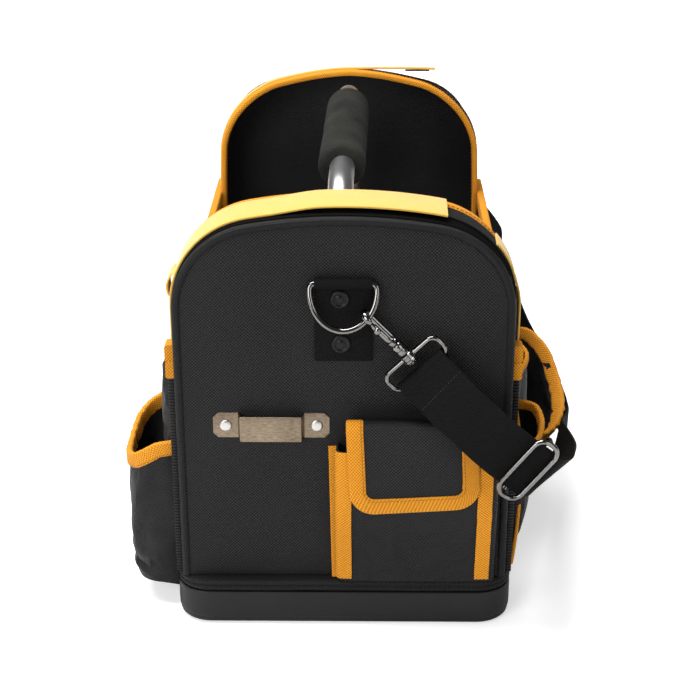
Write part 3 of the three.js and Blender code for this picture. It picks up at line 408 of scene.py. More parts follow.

# %% [markdown]
# The hard finishes have no weave, but none is a flat colour either: moulded plastic has a fine grain,
# foam has closed cells, plated steel has faint draw lines and smudges, and the clip's grain is drawn out along its
# length.

# %% Hard finishes


def grained(name, dark, light, roughness, scale, depth, metallic=0.0, stretch=(1, 1, 1),
            vary=0.15, gloss=0.5):
    """A hard finish with a fine grain, slow smudges and uneven gloss."""
    material, tree, base = shader(name, roughness, metallic)
    base.inputs["Specular IOR Level"].default_value = gloss
    place = node(tree, "ShaderNodeTexCoord", {}).outputs["Object"]
    pulled = node(tree, "ShaderNodeMapping", {"Vector": place, "Scale": stretch}).outputs[0]
    grain = node(tree, "ShaderNodeTexNoise", {"Vector": pulled, "Scale": scale, "Detail": 4.0}).outputs[0]
    smudge = cloudy(tree, 22.0)
    blend = math_node(tree, "MULTIPLY_ADD", smudge, 0.5, math_node(tree, "MULTIPLY", grain, 0.5))
    tree.links.new(ramp(tree, blend, (0.3, dark), (0.7, light)), base.inputs["Base Color"])
    spread = math_node(tree, "MULTIPLY_ADD", blend, vary, roughness - vary / 2)
    tree.links.new(spread, base.inputs["Roughness"])
    relief(tree, base, grain, depth)
    return material


MOULDED = grained("moulded_base", (0.006, 0.006, 0.0065), (0.012, 0.012, 0.013),
                  0.45, 1400.0, 0.04, gloss=0.3)
BOARD = grained("floor_sheet", (0.012, 0.012, 0.0125), (0.022, 0.022, 0.023), 0.6, 600.0, 0.05, gloss=0.3)
FOAM = grained("grip_foam", (0.002, 0.002, 0.002), (0.04, 0.04, 0.035), 0.95, 1100.0, 0.5, gloss=0.1)
NICKEL = grained("dark_nickel", (0.14, 0.135, 0.13), (0.28, 0.27, 0.26), 0.09, 500.0, 0.003, 1.0, vary=0.06)
TUBE_STEEL = grained("tube_plate", (0.82, 0.82, 0.82), (0.94, 0.94, 0.94), 0.3, 300.0, 0.002, 1.0, vary=0.06)
CLIP_STEEL = grained("clip_plate", (0.09, 0.067, 0.043), (0.38, 0.3, 0.215),
                     0.3, 260.0, 0.012, 1.0, (1, 1, 5))
RIVET_STEEL = grained("rivet_plate", (0.55, 0.53, 0.5), (0.72, 0.7, 0.67), 0.35, 900.0, 0.01, 1.0)
CAP_BLACK = grained("cap_lacquer", (0.004, 0.004, 0.004), (0.012, 0.012, 0.012), 0.3, 800.0, 0.01, 0.6)
print("finishes", len(bpy.data.materials))

# %% [markdown]
# Soft things ease in and out and never repeat exactly. So a few small measures come first: a share that
# starts and ends gently, a slow noise that is the same in every run, even spacing, and the places of an arc.

# %% Small measures
def ease(share):
    share = min(max(share, 0.0), 1.0)
    return share * share * (3 - 2 * share)


def slow(x, y, z, size):
    return noise.noise(Vector((x, y, z)) / size)


def spread(first, last, count):
    """Evenly spaced values from first to last, both included."""
    return [first + (last - first) * step / count for step in range(count + 1)]


def arc(centre, radius, first, last, steps):
    """Places round part of a circle in its own plane, between two turns in degrees."""
    turns = [math.radians(turn) for turn in spread(first, last, steps)]
    return [(centre[0] + radius * math.cos(turn), centre[1] + radius * math.sin(turn)) for turn in turns]


print("half way eases to", ease(0.5))

# %% [markdown]
# Cloth, board and tape are all built as a skin: rows of places closed into quads, with a flat map on them
# in millimetres of cloth. Blender's own modifiers then give a sheet its thickness and its soft edges. They
# are baked in at once, so that the mesh that is seen is the mesh that is kept.

# %% Skins
SHARP = math.radians(42)


def smooth(piece):
    piece.data.polygons.foreach_set("use_smooth", [True] * len(piece.data.polygons))
    piece.data.set_sharp_from_angle(angle=SHARP)


def placed(name, mesh):
    """Puts a mesh into the scene as a smooth piece."""
    piece = bpy.data.objects.new(name, mesh)
    bpy.context.scene.collection.objects.link(piece)
    smooth(piece)
    return piece


def skin(name, rows, ring=False, wrap=False, caps=False, flat=None):
    """Quads over rows of points in mm; ring closes each row, wrap joins the last row to the first."""
    count = len(rows[0])
    points = [Vector(point) for row in rows for point in row]
    along = [0.0]
    for here, there in zip(rows, rows[1:] + rows[:1]):
        steps = [(Vector(b) - Vector(a)).length for a, b in zip(here, there)]
        along.append(along[-1] + sum(steps) / count)
    across = []
    for row in rows:
        run = [0.0]
        for a, b in zip(row, [*row[1:], row[0]]):
            run.append(run[-1] + (Vector(b) - Vector(a)).length)
        across.append(run)
    faces, corners = [], []
    for i in range(len(rows) if wrap else len(rows) - 1):
        k = (i + 1) % len(rows)
        for j in range(count if ring else count - 1):
            m = (j + 1) % count
            faces.append((i * count + j, i * count + m, k * count + m, k * count + j))
            corners += [(along[i], across[i][j]), (along[i], across[i][j + 1]),
                        (along[i + 1], across[k][j + 1]), (along[i + 1], across[k][j])]
    if caps:
        for start, order in ((0, reversed(range(count))), (len(points) - count, range(count))):
            cap = [start + j for j in order]
            faces.append(tuple(cap))
            corners += [(points[v].x + points[v].y, points[v].z) for v in cap]
    mesh = bpy.data.meshes.new(name)
    mesh.from_pydata([point * MM for point in points], [], faces)
    layer = mesh.uv_layers.new(name="cloth")
    for loop, corner in zip(mesh.loops, corners):
        layer.data[loop.index].uv = flat(points[loop.vertex_index]) if flat else corner
    if ring:
        shell = bmesh.new()
        shell.from_mesh(mesh)
        bmesh.ops.recalc_face_normals(shell, faces=shell.faces)
        shell.to_mesh(mesh)
        shell.free()
    return placed(name, mesh)


def applied(piece):
    """Bakes a piece's modifiers into its mesh."""
    ready = piece.evaluated_get(bpy.context.evaluated_depsgraph_get())
    mesh = bpy.data.meshes.new_from_object(ready)
    piece.modifiers.clear()
    piece.data = mesh
    smooth(piece)
    return piece


def thicken(piece, thickness, towards, edge=0.6):
    """Gives a sheet its thickness on the side that faces towards, with softened edges."""
    facing = sum((p.normal * p.area for p in piece.data.polygons), Vector())
    shell = piece.modifiers.new("thickness", "SOLIDIFY")
    shell.thickness = thickness * MM
    shell.offset = 1 if facing.dot(Vector(towards)) > 0 else -1
    soft = piece.modifiers.new("edges", "BEVEL")
    soft.width = edge * MM
    soft.segments = 2
    soft.limit_method = "ANGLE"
    return applied(piece)


print("edges sharper than", round(math.degrees(SHARP)), "degrees stay crisp")

# %% [markdown]
# Most of the bag is made of things that run along a line: tape, webbing, cord, wire and tube. So the main
# tool is a sweep, which carries a section along a row of places. Curve objects with a bevel could do it,
# but a sweep in code lets the section lean and change on its way. Rivets and sockets are turned.

# %% Sweeps and turned pieces
def sweep(name, frames, section, closed=False):
    """Carries a closed section along frames of (place, first axis, second axis)."""
    rows = []
    for index, (place, first, second) in enumerate(frames):
        outline = section(index) if callable(section) else section
        rows.append([Vector(place) + first * a + second * b for a, b in outline])
    return skin(name, rows, ring=True, wrap=closed, caps=not closed)


def disc(radius, sides=16):
    turns = [TURN * (side + 0.5) / sides for side in range(sides)]
    return [(radius * math.cos(turn), radius * math.sin(turn)) for turn in turns]


def pillow(low, high, round_by, steps=3):
    """A rectangle with rounded corners, as a section; low and high are opposite corners."""
    section = []
    corners = ((high[0], high[1]), (low[0], high[1]), (low[0], low[1]), (high[0], low[1]))
    for quarter, (x, y) in enumerate(corners):
        inner = (x - math.copysign(round_by, x - (low[0] + high[0]) / 2),
                 y - math.copysign(round_by, y - (low[1] + high[1]) / 2))
        for step in range(steps + 1):
            turn = (quarter + step / steps) * TURN / 4
            section.append((inner[0] + round_by * math.cos(turn), inner[1] + round_by * math.sin(turn)))
    return section


def rod_frames(points, normal, closed=False):
    """Frames along a flat run of points; the second axis is the run's own normal."""
    normal = Vector(normal).normalized()
    count = len(points)
    frames = []
    for i, point in enumerate(points):
        before = points[i - 1] if closed or i else points[0]
        after = points[(i + 1) % count] if closed or i < count - 1 else points[-1]
        run = (Vector(after) - Vector(before)).normalized()
        frames.append((Vector(point), run.cross(normal).normalized(), normal))
    return frames


def rod(name, points, normal, radius, sides=16, closed=False):
    return sweep(name, rod_frames(points, normal, closed), disc(radius, sides), closed)


def turned(name, profile, place, axis, sides=32, hollow=False):
    """Turns a profile of (radius, height) round an axis, as on a lathe; a hollow one closes on its bore."""
    turn = Vector(axis).to_track_quat("Z", "Y").to_matrix()
    rows = []
    for radius, height in profile:
        rows.append([Vector(place) + turn @ Vector((
            radius * math.cos(TURN * s / sides), radius * math.sin(TURN * s / sides), height,
        )) for s in range(sides)])
    return skin(name, rows, ring=True, wrap=hollow, caps=not hollow)


def bent(points, radius, steps=5):
    """A run of points with each corner turned into a soft bend."""
    points = [Vector(point) for point in points]
    run = [points[0]]
    for before, corner, after in zip(points, points[1:], points[2:]):
        first = corner + (before - corner).normalized() * radius
        last = corner + (after - corner).normalized() * radius
        for step in range(steps + 1):
            t = step / steps
            run.append(first * (1 - t) ** 2 + corner * 2 * t * (1 - t) + last * t * t)
    return [*run, points[-1]]


def joined(name, *pieces):
    """Makes one piece of several."""
    whole = bmesh.new()
    for piece in pieces:
        whole.from_mesh(piece.data)
    mesh = bpy.data.meshes.new(name)
    whole.to_mesh(mesh)
    whole.free()
    for piece in pieces:
        bpy.data.objects.remove(piece)
    return placed(name, mesh)


print("a cord's section has", len(disc(1.0)), "sides")

# %% [markdown]
# A finished piece gets its cloth or metal, rides on the body it moves with, and stands for the CAD solids
# it covers. Cloth that crosses a joint bends between two bodies instead.

# %% Dressing
def coat(piece, finish, slot):
    piece.data.materials.clear()
    piece.data.materials.append(finish)
    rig.slot(piece, slot)


def dress(piece, finish, slot, body, *nodes):
    """Finishes a piece, sets it on its body and lets it stand for its CAD nodes."""
    coat(piece, finish, slot)
    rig.ride(piece, body)
    if nodes:
        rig.replaces(piece, *nodes)
    print(piece.name, len(piece.data.polygons), "faces on", body)
    return piece


def dress_bending(piece, finish, slot, bodies, span, *nodes):
    """The same for cloth that crosses a joint: it bends between two bodies over a span in mm."""
    coat(piece, finish, slot)
    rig.blend(piece, *bodies, start=Vector(span[0]) * MM, end=Vector(span[1]) * MM)
    if nodes:
        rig.replaces(piece, *nodes)
    print(piece.name, len(piece.data.polygons), "faces between", " and ".join(bodies))
    return piece


def bind(piece, *nodes):
    """Dresses a piece as yellow edge tape, which all rides on the bag."""
    return dress(piece, BINDING, "binding", "bag", *nodes)


print("joints to bend at", len(hinges))

# %% [markdown]
# The sizes below are the ones the frame was made with, so a sewn piece lands on its CAD solid.
# The end's arch is three circles: two small shoulders and one wide crown. One function gives any place
# on it, which lets panel, piping, hood, straps and tapes all follow the same line. The hoods rise a little
# from panel to bound edge. The rear end is slacker: its shoulders slouch inwards, and its crown dips at
# the panel and stands up at the bound edge.

# %% The end's arch
END_HALF = 120.0
END_TOP = 318.0
SHOULDER = 64.0
CROWN = 392.0
FOOT = 38.6
FACE = 229.0
HOOD_SPAN = (222.7, 185.0)
HOOD_RISE = 3.0
REAR_RISE = 5.0
REAR_SAG = 2.8
REAR_SLOUCH = 7.0
SLOUCH_PLACE = 1.65
ARCH_END = 5
SHOULDER_X = END_HALF - SHOULDER
CROWN_Z = END_TOP - CROWN
SHOULDER_Z = CROWN_Z + math.sqrt((CROWN - SHOULDER) ** 2 - SHOULDER_X ** 2)
CROWN_TURN = math.atan2(SHOULDER_Z - CROWN_Z, SHOULDER_X)
ARCS = (((-SHOULDER_X, SHOULDER_Z, SHOULDER), (math.pi, math.pi - CROWN_TURN)),
        ((0, CROWN_Z, CROWN), (math.pi - CROWN_TURN, CROWN_TURN)),
        ((SHOULDER_X, SHOULDER_Z, SHOULDER), (CROWN_TURN, 0)))


def settled(y, z):
    """How far the end's cloth stands above the plain arch at a place, most at the crown."""
    share = (HOOD_SPAN[0] - abs(y)) / (HOOD_SPAN[0] - HOOD_SPAN[1])
    share = min(max(share, 0.0), 1.0)
    lift = REAR_RISE * share - REAR_SAG * (1 - share) if y > 0 else HOOD_RISE * share
    return lift * max(0.0, (z - SHOULDER_Z) / (END_TOP - SHOULDER_Z))


def slouch(place, y):
    """How far the rear end's soft shoulders have sunk inwards."""
    near = abs(min(place, ARCH_END - place) - SLOUCH_PLACE)
    return REAR_SLOUCH * math.cos(math.pi / 2 * near) ** 2 if y > 0 and near < 1 else 0.0


def arch(place, offset, y):
    """A place on the arch: 0 to 1 left side, 1 to 2 left shoulder, then crown, right shoulder, right side."""
    stretch = min(int(place), 4)
    part = place - stretch
    offset -= slouch(place, y)
    if stretch in (0, 4):
        rise = part if stretch == 0 else 1 - part
        side = -1 if stretch == 0 else 1
        return Vector((side * (END_HALF + offset), y, FOOT + rise * (SHOULDER_Z - FOOT)))
    (x, z, radius), (start, stop) = ARCS[stretch - 1]
    turn = start + (stop - start) * part
    height = z + (radius + offset) * math.sin(turn)
    return Vector((x + (radius + offset) * math.cos(turn), y, height + settled(y, height)))


ARCH_STEPS = (30, 18, 22, 18, 30)


def arch_places(first, last):
    places = [first]
    for stretch, count in enumerate(ARCH_STEPS):
        marks = [stretch + step / count for step in range(count)]
        places += [mark for mark in marks if first + 0.01 < mark < last - 0.01]
    return [*places, last]


def arch_sweep(name, first, last, section, end):
    """Carries a section of (offset, y) along the arch; end is -1 at the front and 1 at the rear."""
    rows = []
    for place in arch_places(first, last):
        outline = section(place) if callable(section) else section
        rows.append([arch(place, offset, end * -y) for offset, y in outline])
    return skin(name, rows, ring=True, caps=True)


ENDS = {"front": -1, "rear": 1}
print("arch shoulder at", round(SHOULDER_Z, 1), "mm")

# %% [markdown]
# Each end panel is a padded board covered with heavy nylon and sewn in all round, so the cloth is tight
# at the seam and a touch full in the middle. Columns of points that reach up to the arch keep the weave
# upright, and the fullness is a soft swell with slow noise, too stiff a thing to need a simulation.

# %% End panels
PANEL_INSET = 5.4
PANEL_DEPTH = 5.2
PANEL_GRID = (44, 48)
SWELL = 1.6
SWELL_REACH = 26.0


def arch_top(x, inset):
    radius = CROWN - inset
    if abs(x) <= radius * math.cos(CROWN_TURN):
        return CROWN_Z + math.sqrt(radius ** 2 - x ** 2)
    short = SHOULDER - inset
    return SHOULDER_Z + math.sqrt(max(short ** 2 - (abs(x) - SHOULDER_X) ** 2, 0.0))


def end_panel(name, end):
    half = END_HALF - PANEL_INSET
    columns, rows = PANEL_GRID
    grid = []
    for i in range(rows + 1):
        row = []
        for j in range(-columns // 2, columns // 2 + 1):
            x = half * math.sin(math.pi * j / columns)
            top = arch_top(x, PANEL_INSET)
            top += settled(end * FACE, top)
            z = FOOT + (top - FOOT) * i / rows
            tight = ease(min(half - abs(x), z - FOOT, top - z) / SWELL_REACH)
            out = tight * (SWELL + 1.3 * slow(x, end * 40, z, 62))
            row.append((x, end * (FACE - 0.3 + out), z))
        grid.append(row)
    sheet = skin(name, grid, flat=lambda point: (point.x, point.z))
    return thicken(sheet, PANEL_DEPTH, (0, -end, 0))


for side, end in ENDS.items():
    panel = dress(end_panel(f"{side}_end_panel", end), BALLISTIC, "ballistic", "bag", f"{side}_panel")
    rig.padded(panel, fill=0.3)

# %% [markdown]
# A seam that shows is a row of short threads. They could be instances along a curve, but one mesh of small
# spindles, evenly spaced, is lighter and exports as it is.

# %% Stitches
def seam_line(points, normals, pitch):
    """Evenly spaced (place, direction, normal) along a run of points, for a row of stitches."""
    marks, carried = [], pitch / 2
    for a, b, out in zip(points, points[1:], normals):
        a, b = Vector(a), Vector(b)
        length = (b - a).length
        while carried < length:
            marks.append((a.lerp(b, carried / length), (b - a).normalized(), Vector(out).normalized()))
            carried += pitch
        carried -= length
    return marks


STITCH_RINGS = ((-0.5, 0.35), (-0.25, 1.0), (0.25, 1.0), (0.5, 0.35))


def stitches(name, marks, length=2.2, radius=0.32, sides=6):
    """One mesh of many short threads, each a spindle that lies along the seam."""
    points, faces = [], []
    for place, run, out in marks:
        side = run.cross(out).normalized()
        first = len(points)
        for share, size in STITCH_RINGS:
            for s in range(sides):
                turn = TURN * s / sides
                reach = side * math.cos(turn) + out * math.sin(turn)
                points.append((place + run * share * length + reach * radius * size) * MM)
        for i in range(len(STITCH_RINGS) - 1):
            for s in range(sides):
                a, b = first + i * sides + s, first + i * sides + (s + 1) % sides
                faces.append((a, b, b + sides, a + sides))
        faces.append(tuple(first + s for s in reversed(range(sides))))
        faces.append(tuple(first + (len(STITCH_RINGS) - 1) * sides + s for s in range(sides)))
    mesh = bpy.data.meshes.new(name)
    mesh.from_pydata(points, [], faces)
    mesh.uv_layers.new(name="cloth")
    return placed(name, mesh)


def stitch_row(name, line, normals, pitch):
    """A row of yellow stitches along a line on the bag."""
    return dress(stitches(name, seam_line(line, normals, pitch)), YELLOW_THREAD, "binding", "bag")


print("a stitch has", len(STITCH_RINGS), "rings")

# %% [markdown]
# The seam round the end is hidden by a piping: a cord wrapped in black tape. Behind it the hood, a deep
# rim of lined cloth, runs back to an edge that is bound in yellow tape. All three follow the arch.

# %% Piping, hoods and their bindings
PIPING_RADIUS = 3.5
HOOD = ((-3.0, -222.7), (0.0, -185.0))
HOOD_EDGE = ((-4.4, -191.0), (0.6, -179.6))
HOOD_SEAM = 189.2
HOOD_SEAM_RUN = (0.02, 4.98)
HOOD_PITCH = 3.4

for side, end in ENDS.items():
    middle = end * (FACE + 1 - PIPING_RADIUS)
    line = [arch(place, -PIPING_RADIUS, middle) for place in arch_places(0, ARCH_END)]
    cord = rod(f"{side}_piping_cord", line, (0, 1, 0), PIPING_RADIUS, 14)
    dress(cord, PIPING, "tape", "bag", f"{side}_piping")
    hood = arch_sweep(f"{side}_hood_cloth", 0, ARCH_END, pillow(*HOOD, 1.0), end)
    dress(hood, LINING, "lining", "bag", f"{side}_hood")
    edge = arch_sweep(f"{side}_hood_edge", 0, ARCH_END, pillow(*HOOD_EDGE, 1.8), end)
    bind(edge, f"{side}_hood_binding")
    for layer, offset in (("inner", -4.7), ("outer", 0.9)):
        places = arch_places(*HOOD_SEAM_RUN)
        line = [arch(place, offset, end * HOOD_SEAM) for place in places]
        facing = [p - arch(place, 0, end * HOOD_SEAM) for p, place in zip(line, places)]
        stitch_row(f"{side}_hood_seam_{layer}", line, facing, HOOD_PITCH)

# %% [markdown]
# The side walls are low boards between the two ends. Their bound top edges are what the hand brushes
# against, so the tape there waves a little. A wall is one face with a slack belly, then thickened.

# %% Side walls
WALL_INNER = 120.3
WALL_OUTER = 125.0
WALL_TOP = 206.5
WALL_END = 222.5
WALL_GRID = (64, 18)
EDGE_Z = 207.0
EDGE_STEPS = 80
EDGE_SEAM_DROP = 9.6
EDGE_PITCH = 3.4
EDGE_SECTION = pillow((-3.0, -11.6), (3.7, 1.0), 1.6)


def wall_sheet(name, side):
    columns, rows = WALL_GRID
    grid = []
    for i in range(rows + 1):
        z = FOOT + (WALL_TOP - FOOT) * i / rows
        row = []
        for j in range(columns + 1):
            y = WALL_END * (2 * j / columns - 1)
            tight = ease(min(z - FOOT, WALL_END - abs(y)) / 40)
            belly = tight * (0.5 + 1.2 * slow(side * 90, y, z, 75))
            row.append((side * (WALL_OUTER - 0.2 + belly), y, z))
        grid.append(row)
    sheet = skin(name, grid, flat=lambda point: (point.y, point.z))
    return thicken(sheet, WALL_OUTER - WALL_INNER - 0.3, (-side, 0, 0))


for label, side in (("left", -1), ("right", 1)):
    dress(wall_sheet(f"{label}_side_wall", side), BALLISTIC, "ballistic", "bag", f"{label}_wall")
    run = []
    for y in spread(-WALL_END, WALL_END, EDGE_STEPS):
        place = Vector((side * (WALL_INNER + WALL_OUTER) / 2, y, EDGE_Z + 0.9 * slow(side * 30, y, 0, 55)))
        run.append((place, Vector((side, 0, 0)), Vector((0, 0, 1))))
    bind(sweep(f"{label}_wall_edge", run, EDGE_SECTION), f"{label}_wall_binding")
    for face, reach in (("out", 3.8), ("in", -3.1)):
        line = [place + Vector((side * reach, 0, -EDGE_SEAM_DROP)) for place, _, _ in run]
        stitch_row(f"{label}_wall_seam_{face}", line, [(side * reach, 0, 0)] * len(line), EDGE_PITCH)

# %% [markdown]
# The base is one moulding: a shallow tray with a rounded lower edge, three skids under it and a foot line
# pressed in near the floor. Above it a folded black welt joins cloth to plastic. Both are rings of the
# same rounded oblong, so one function draws the oblong and the profile says how far in and how high.

# %% Moulded base and welt
TRAY_HALF = (125.0, 236.0)
TRAY_CORNER = 26.0
CORNER_STEPS = 12
TRAY_PROFILE = ((5.4, 1.2), (3.4, 1.3), (2.0, 1.8), (1.2, 2.7), (0.8, 4.2), (0.9, 6.0), (0.3, 6.6),
                (0.1, 7.6), (0.0, 12.0), (0.0, 19.0), (0.0, 25.6), (0.1, 27.0), (0.6, 27.8), (1.6, 28.0),
                (3.2, 27.9), (3.7, 27.0), (6.6, 5.6), (8.0, 4.7))
WELT_PROFILE = ((14.4, 28.4), (3.0, 28.4), (1.2, 28.9), (0.2, 30.2), (0.0, 31.6), (0.9, 33.2), (0.0, 34.8),
                (0.1, 36.2), (1.0, 37.5), (2.6, 38.2), (14.4, 38.2))
SKID = (24.0, 380.0, 2.8)
SKID_PITCH = 74.0


def oblong(inset, z, wobble=0.0):
    ring = []
    corner = TRAY_CORNER - inset
    for quarter, (sx, sy) in enumerate(((1, 1), (-1, 1), (-1, -1), (1, -1))):
        for step in range(CORNER_STEPS + 1):
            turn = (quarter + step / CORNER_STEPS) * TURN / 4
            x = sx * (TRAY_HALF[0] - inset - corner) + corner * math.cos(turn)
            y = sy * (TRAY_HALF[1] - inset - corner) + corner * math.sin(turn)
            ring.append(Vector((x, y, z)))
    fine = []
    for a, b in zip(ring, ring[1:] + ring[:1]):
        pieces = max(1, round((b - a).length / 12))
        fine += [a.lerp(b, k / pieces) for k in range(pieces)]
    return [p + Vector((0, 0, wobble * slow(p.x, p.y, 7, 40))) for p in fine]


def matched(rings):
    """Rings of one outline at different insets, each with the points of the first."""
    count = min(len(ring) for ring in rings)
    return [[ring[round(i * len(ring) / count) % len(ring)] for i in range(count)] for ring in rings]


tray = skin("base_moulding", matched([oblong(inset, z) for inset, z in TRAY_PROFILE]), ring=True, caps=True)
skids = []
for i in (-1, 0, 1):
    rows = []
    for inset, z in ((1, 0.0), (0, 0.6), (0, SKID[2])):
        half, long = SKID[0] / 2 - inset, SKID[1] / 2 - inset
        outline = pillow((i * SKID_PITCH - half, -long), (i * SKID_PITCH + half, long), 9 - inset, 6)
        rows.append([(x, y, z) for x, y in outline])
    skids.append(skin(f"skid_{i}", rows, ring=True, caps=True))
dress(joined("base_moulding_skids", tray, *skids), MOULDED, "moulded", "bag", "base_tray")
welt_rings = [oblong(inset, z, 0.5) for inset, z in WELT_PROFILE]
welt = skin("base_welt_tape", matched(welt_rings), ring=True, wrap=True)
dress(welt, PIPING, "webbing", "bag", "base_welt")
frame["nodes"]["floor_board"].data.materials.clear()
frame["nodes"]["floor_board"].data.materials.append(BOARD)

# %% [markdown]
# The hardware at each end is one chain: a webbing tab holds a D-ring, the snap hook grips the ring, and
# the strap goes round the hook's swivel eye. Everything on the hook is measured in the hook's own frame:
# along it, out from the panel, and across it. The rear end is the same chain mirrored.

# %% The hook's frame
HOOK_TIP = Vector((12.52, -240.66, 254.73))
HOOK_ALONG = Vector((0.69466, 0, -0.71934))
HOOK_OUT = Vector((0, -1, 0))
HOOK_ACROSS = HOOK_ALONG.cross(HOOK_OUT)
EYE_TOP = 46.8
EYE_BAR = 62.3


def mirror(vector, end):
    return Vector((vector.x, vector.y * -end, vector.z))


def at_hook(end, along, out, across=0.0):
    return mirror(HOOK_TIP + HOOK_ALONG * along + HOOK_OUT * out + HOOK_ACROSS * across, end)


print("front eye bar at", [round(v, 1) for v in at_hook(-1, EYE_BAR, 0)], "mm")

# %% [markdown]
# The shoulder strap is flat webbing. It can't stretch, so it is drawn as a ribbon carried along one smooth
# line: round the hook's eye, across the flap, through the slider, then bent back along the right side,
# under the large pouch and up to the rear hook. The line is a curve through a few measured places, and each
# place has a lean, 0 where the webbing stands on edge and 1 where it lies across the hook.

# %% The strap's line
STRAP_WIDTH = 41.0
STRAP_THICKNESS = 2.4
EYE_WRAP = 3.8
WRAP_STEPS = 6
LAP = ((78, -255.6, 191), (66, -247.4, 201.2))
ROUTE = (
    (66.5, -251, 200.7, 1), (79, -258.5, 190, 1), (92, -262, 178.9, 1), (108, -265.4, 164.6, 1),
    (128, -265, 148, 1), (138, -263.5, 140.5, 1), (145.5, -256, 137.5, 1), (151, -237, 134, 0.95),
    (158, -200, 120, 0.7), (163, -150, 104, 0.4), (168, -115, 92, 0.2), (174, -90, 83, 0.1),
    (181, -65, 76, 0.05), (184.5, -40, 72, 0), (183.5, 0, 72, 0), (172, 40, 86, 0), (161, 80, 100, 0),
    (156, 110, 106, 0.05), (150, 150, 115, 0.15), (143, 180, 121, 0.25), (139, 215, 128, 0.5),
    (135, 246, 137.5, 0.85), (123, 261, 150.5, 1), (108, 261, 166, 1), (90, 257, 182, 1),
    (72, 251, 197, 1),
)
LEANING = -HOOK_ACROSS
STRAP_SECTION = pillow((-STRAP_WIDTH / 2, -STRAP_THICKNESS / 2), (STRAP_WIDTH / 2, STRAP_THICKNESS / 2), 0.9)
STEPS_PER_PLACE = 7


def eye_turn(end):
    turn = arc((EYE_BAR, 0), EYE_WRAP, -90, -270, WRAP_STEPS - 1)
    return [at_hook(end, along, out) for along, out in turn]


strap_places = [*(Vector(p) for p in LAP), *eye_turn(-1),
                *(Vector(p[:3]) for p in ROUTE), *reversed(eye_turn(1))]
strap_leans = [1] * (len(LAP) + WRAP_STEPS) + [p[3] for p in ROUTE] + [1] * WRAP_STEPS
strap_widths = [Vector((0, 0, 1)).lerp(LEANING, lean).normalized() for lean in strap_leans]
ROUTE_START = len(LAP) + WRAP_STEPS


def curve_at(points, index):
    """A place on the smooth curve through the points, counted in points."""
    i = min(int(index), len(points) - 2)
    t = index - i
    b, c = points[i], points[i + 1]
    a = points[i - 1] if i else b * 2 - c
    d = points[i + 2] if i + 2 < len(points) else c * 2 - b
    first, middle, last = (max((q - p).length, 1e-4) ** 0.5 for p, q in ((a, b), (b, c), (c, d)))
    leave = ((b - a) / first - (c - a) / (first + middle) + (c - b) / middle) * middle
    reach = ((c - b) / middle - (d - b) / (middle + last) + (d - c) / last) * middle
    return (b * (2 * t ** 3 - 3 * t ** 2 + 1) + leave * (t ** 3 - 2 * t ** 2 + t)
            + c * (3 * t ** 2 - 2 * t ** 3) + reach * (t ** 3 - t ** 2))


def strap_at(index):
    place = curve_at(strap_places, index)
    top = len(strap_places) - 1
    before, after = (curve_at(strap_places, min(max(index + step, 0), top)) for step in (-0.02, 0.02))
    run = (after - before).normalized()
    i = min(int(index), top - 1)
    face = strap_widths[i].lerp(strap_widths[i + 1], index - i).cross(run).normalized()
    return place, run.cross(face).normalized(), face


def strap_run(first, last):
    return spread(first, last, max(2, round((last - first) * STEPS_PER_PLACE)))


def strap_piece(name, first, last):
    return sweep(name, [strap_at(index) for index in strap_run(first, last)], STRAP_SECTION)


print("strap line through", len(strap_places), "places")

# %% [markdown]
# The webbing is made in four lengths that meet where it passes from one moving body to the next: at the
# hook, over the flap, down to the slider, and round the side. Each length bends between its two bodies,
# so the strap stays whole when the flap opens or a ring lifts. A short bar of stitches closes the loop.

# %% Shoulder strap
CUTS = (0, ROUTE_START + 0.4, ROUTE_START + 1.8, ROUTE_START + 3.3, len(strap_places) - 1)
REAR_BEND = (ROUTE_START + 22.5, ROUTE_START + 25.6)
REAR_BEND_LEAN = 6.0
FRONT_BEND = (len(LAP) + WRAP_STEPS - 1, ROUTE_START + 0.4)
ends = [strap_at(cut)[0] for cut in CUTS]
front_bend = [strap_at(index)[0] for index in FRONT_BEND]
strap_hook = strap_piece("strap_at_hook", *CUTS[0:2])
strap_over = strap_piece("strap_over_flap", *CUTS[1:3])
strap_down = strap_piece("strap_to_slider", *CUTS[2:4])
strap_long = strap_piece("strap_round_side", *CUTS[3:5])
dress_bending(strap_hook, WEBBING, "webbing", ("front_ring_body", "bag"), front_bend, "strap_front")
dress_bending(strap_over, WEBBING, "webbing", ("bag", "flap"), ends[1:3])
dress_bending(strap_down, WEBBING, "webbing", ("flap", "bag"), ends[2:4])
rear_bend = [strap_at(index)[0] for index in REAR_BEND]
rear_bend[1].y = rear_bend[0].y + REAR_BEND_LEAN  # leans away from the front run, which stays still
dress_bending(strap_long, WEBBING, "webbing", ("bag", "rear_ring_body"), rear_bend, "strap_main")
strap_line = [strap_at(index)[0] * MM for index in strap_run(*CUTS[3:5])]
strap_length = sum((b - a).length for a, b in zip(strap_line, strap_line[1:]))
sewn, across, out = strap_at(ROUTE_START + 0.1)
bar_tack = [sewn - out * (STRAP_THICKNESS / 2) + across * reach for reach in (-19, 0, 19)]
tack = stitches("strap_tack", seam_line(bar_tack, [-out] * 3, 2.6), 2.0, 0.3)
dress_bending(tack, BLACK_THREAD, "webbing", ("front_ring_body", "bag"), front_bend)
print("strap", round(strap_length, 3), "m from the flap to the rear hook")

# %% [markdown]
# The slider is a wire frame with a middle bar. The webbing goes behind the frame and over the bar, which is
# why only the frame shows. It rides its own body, because it slides along the strap to set the length.

# %% Slider
SLIDER_INDEX = ROUTE_START + 4
SLIDER_HALF = (25.2, 9.2)
SLIDER_WIRE = 1.8
SLIDER_GAP = 1.4
SLIDER_LIFT = STRAP_THICKNESS / 2 + SLIDER_GAP + SLIDER_WIRE

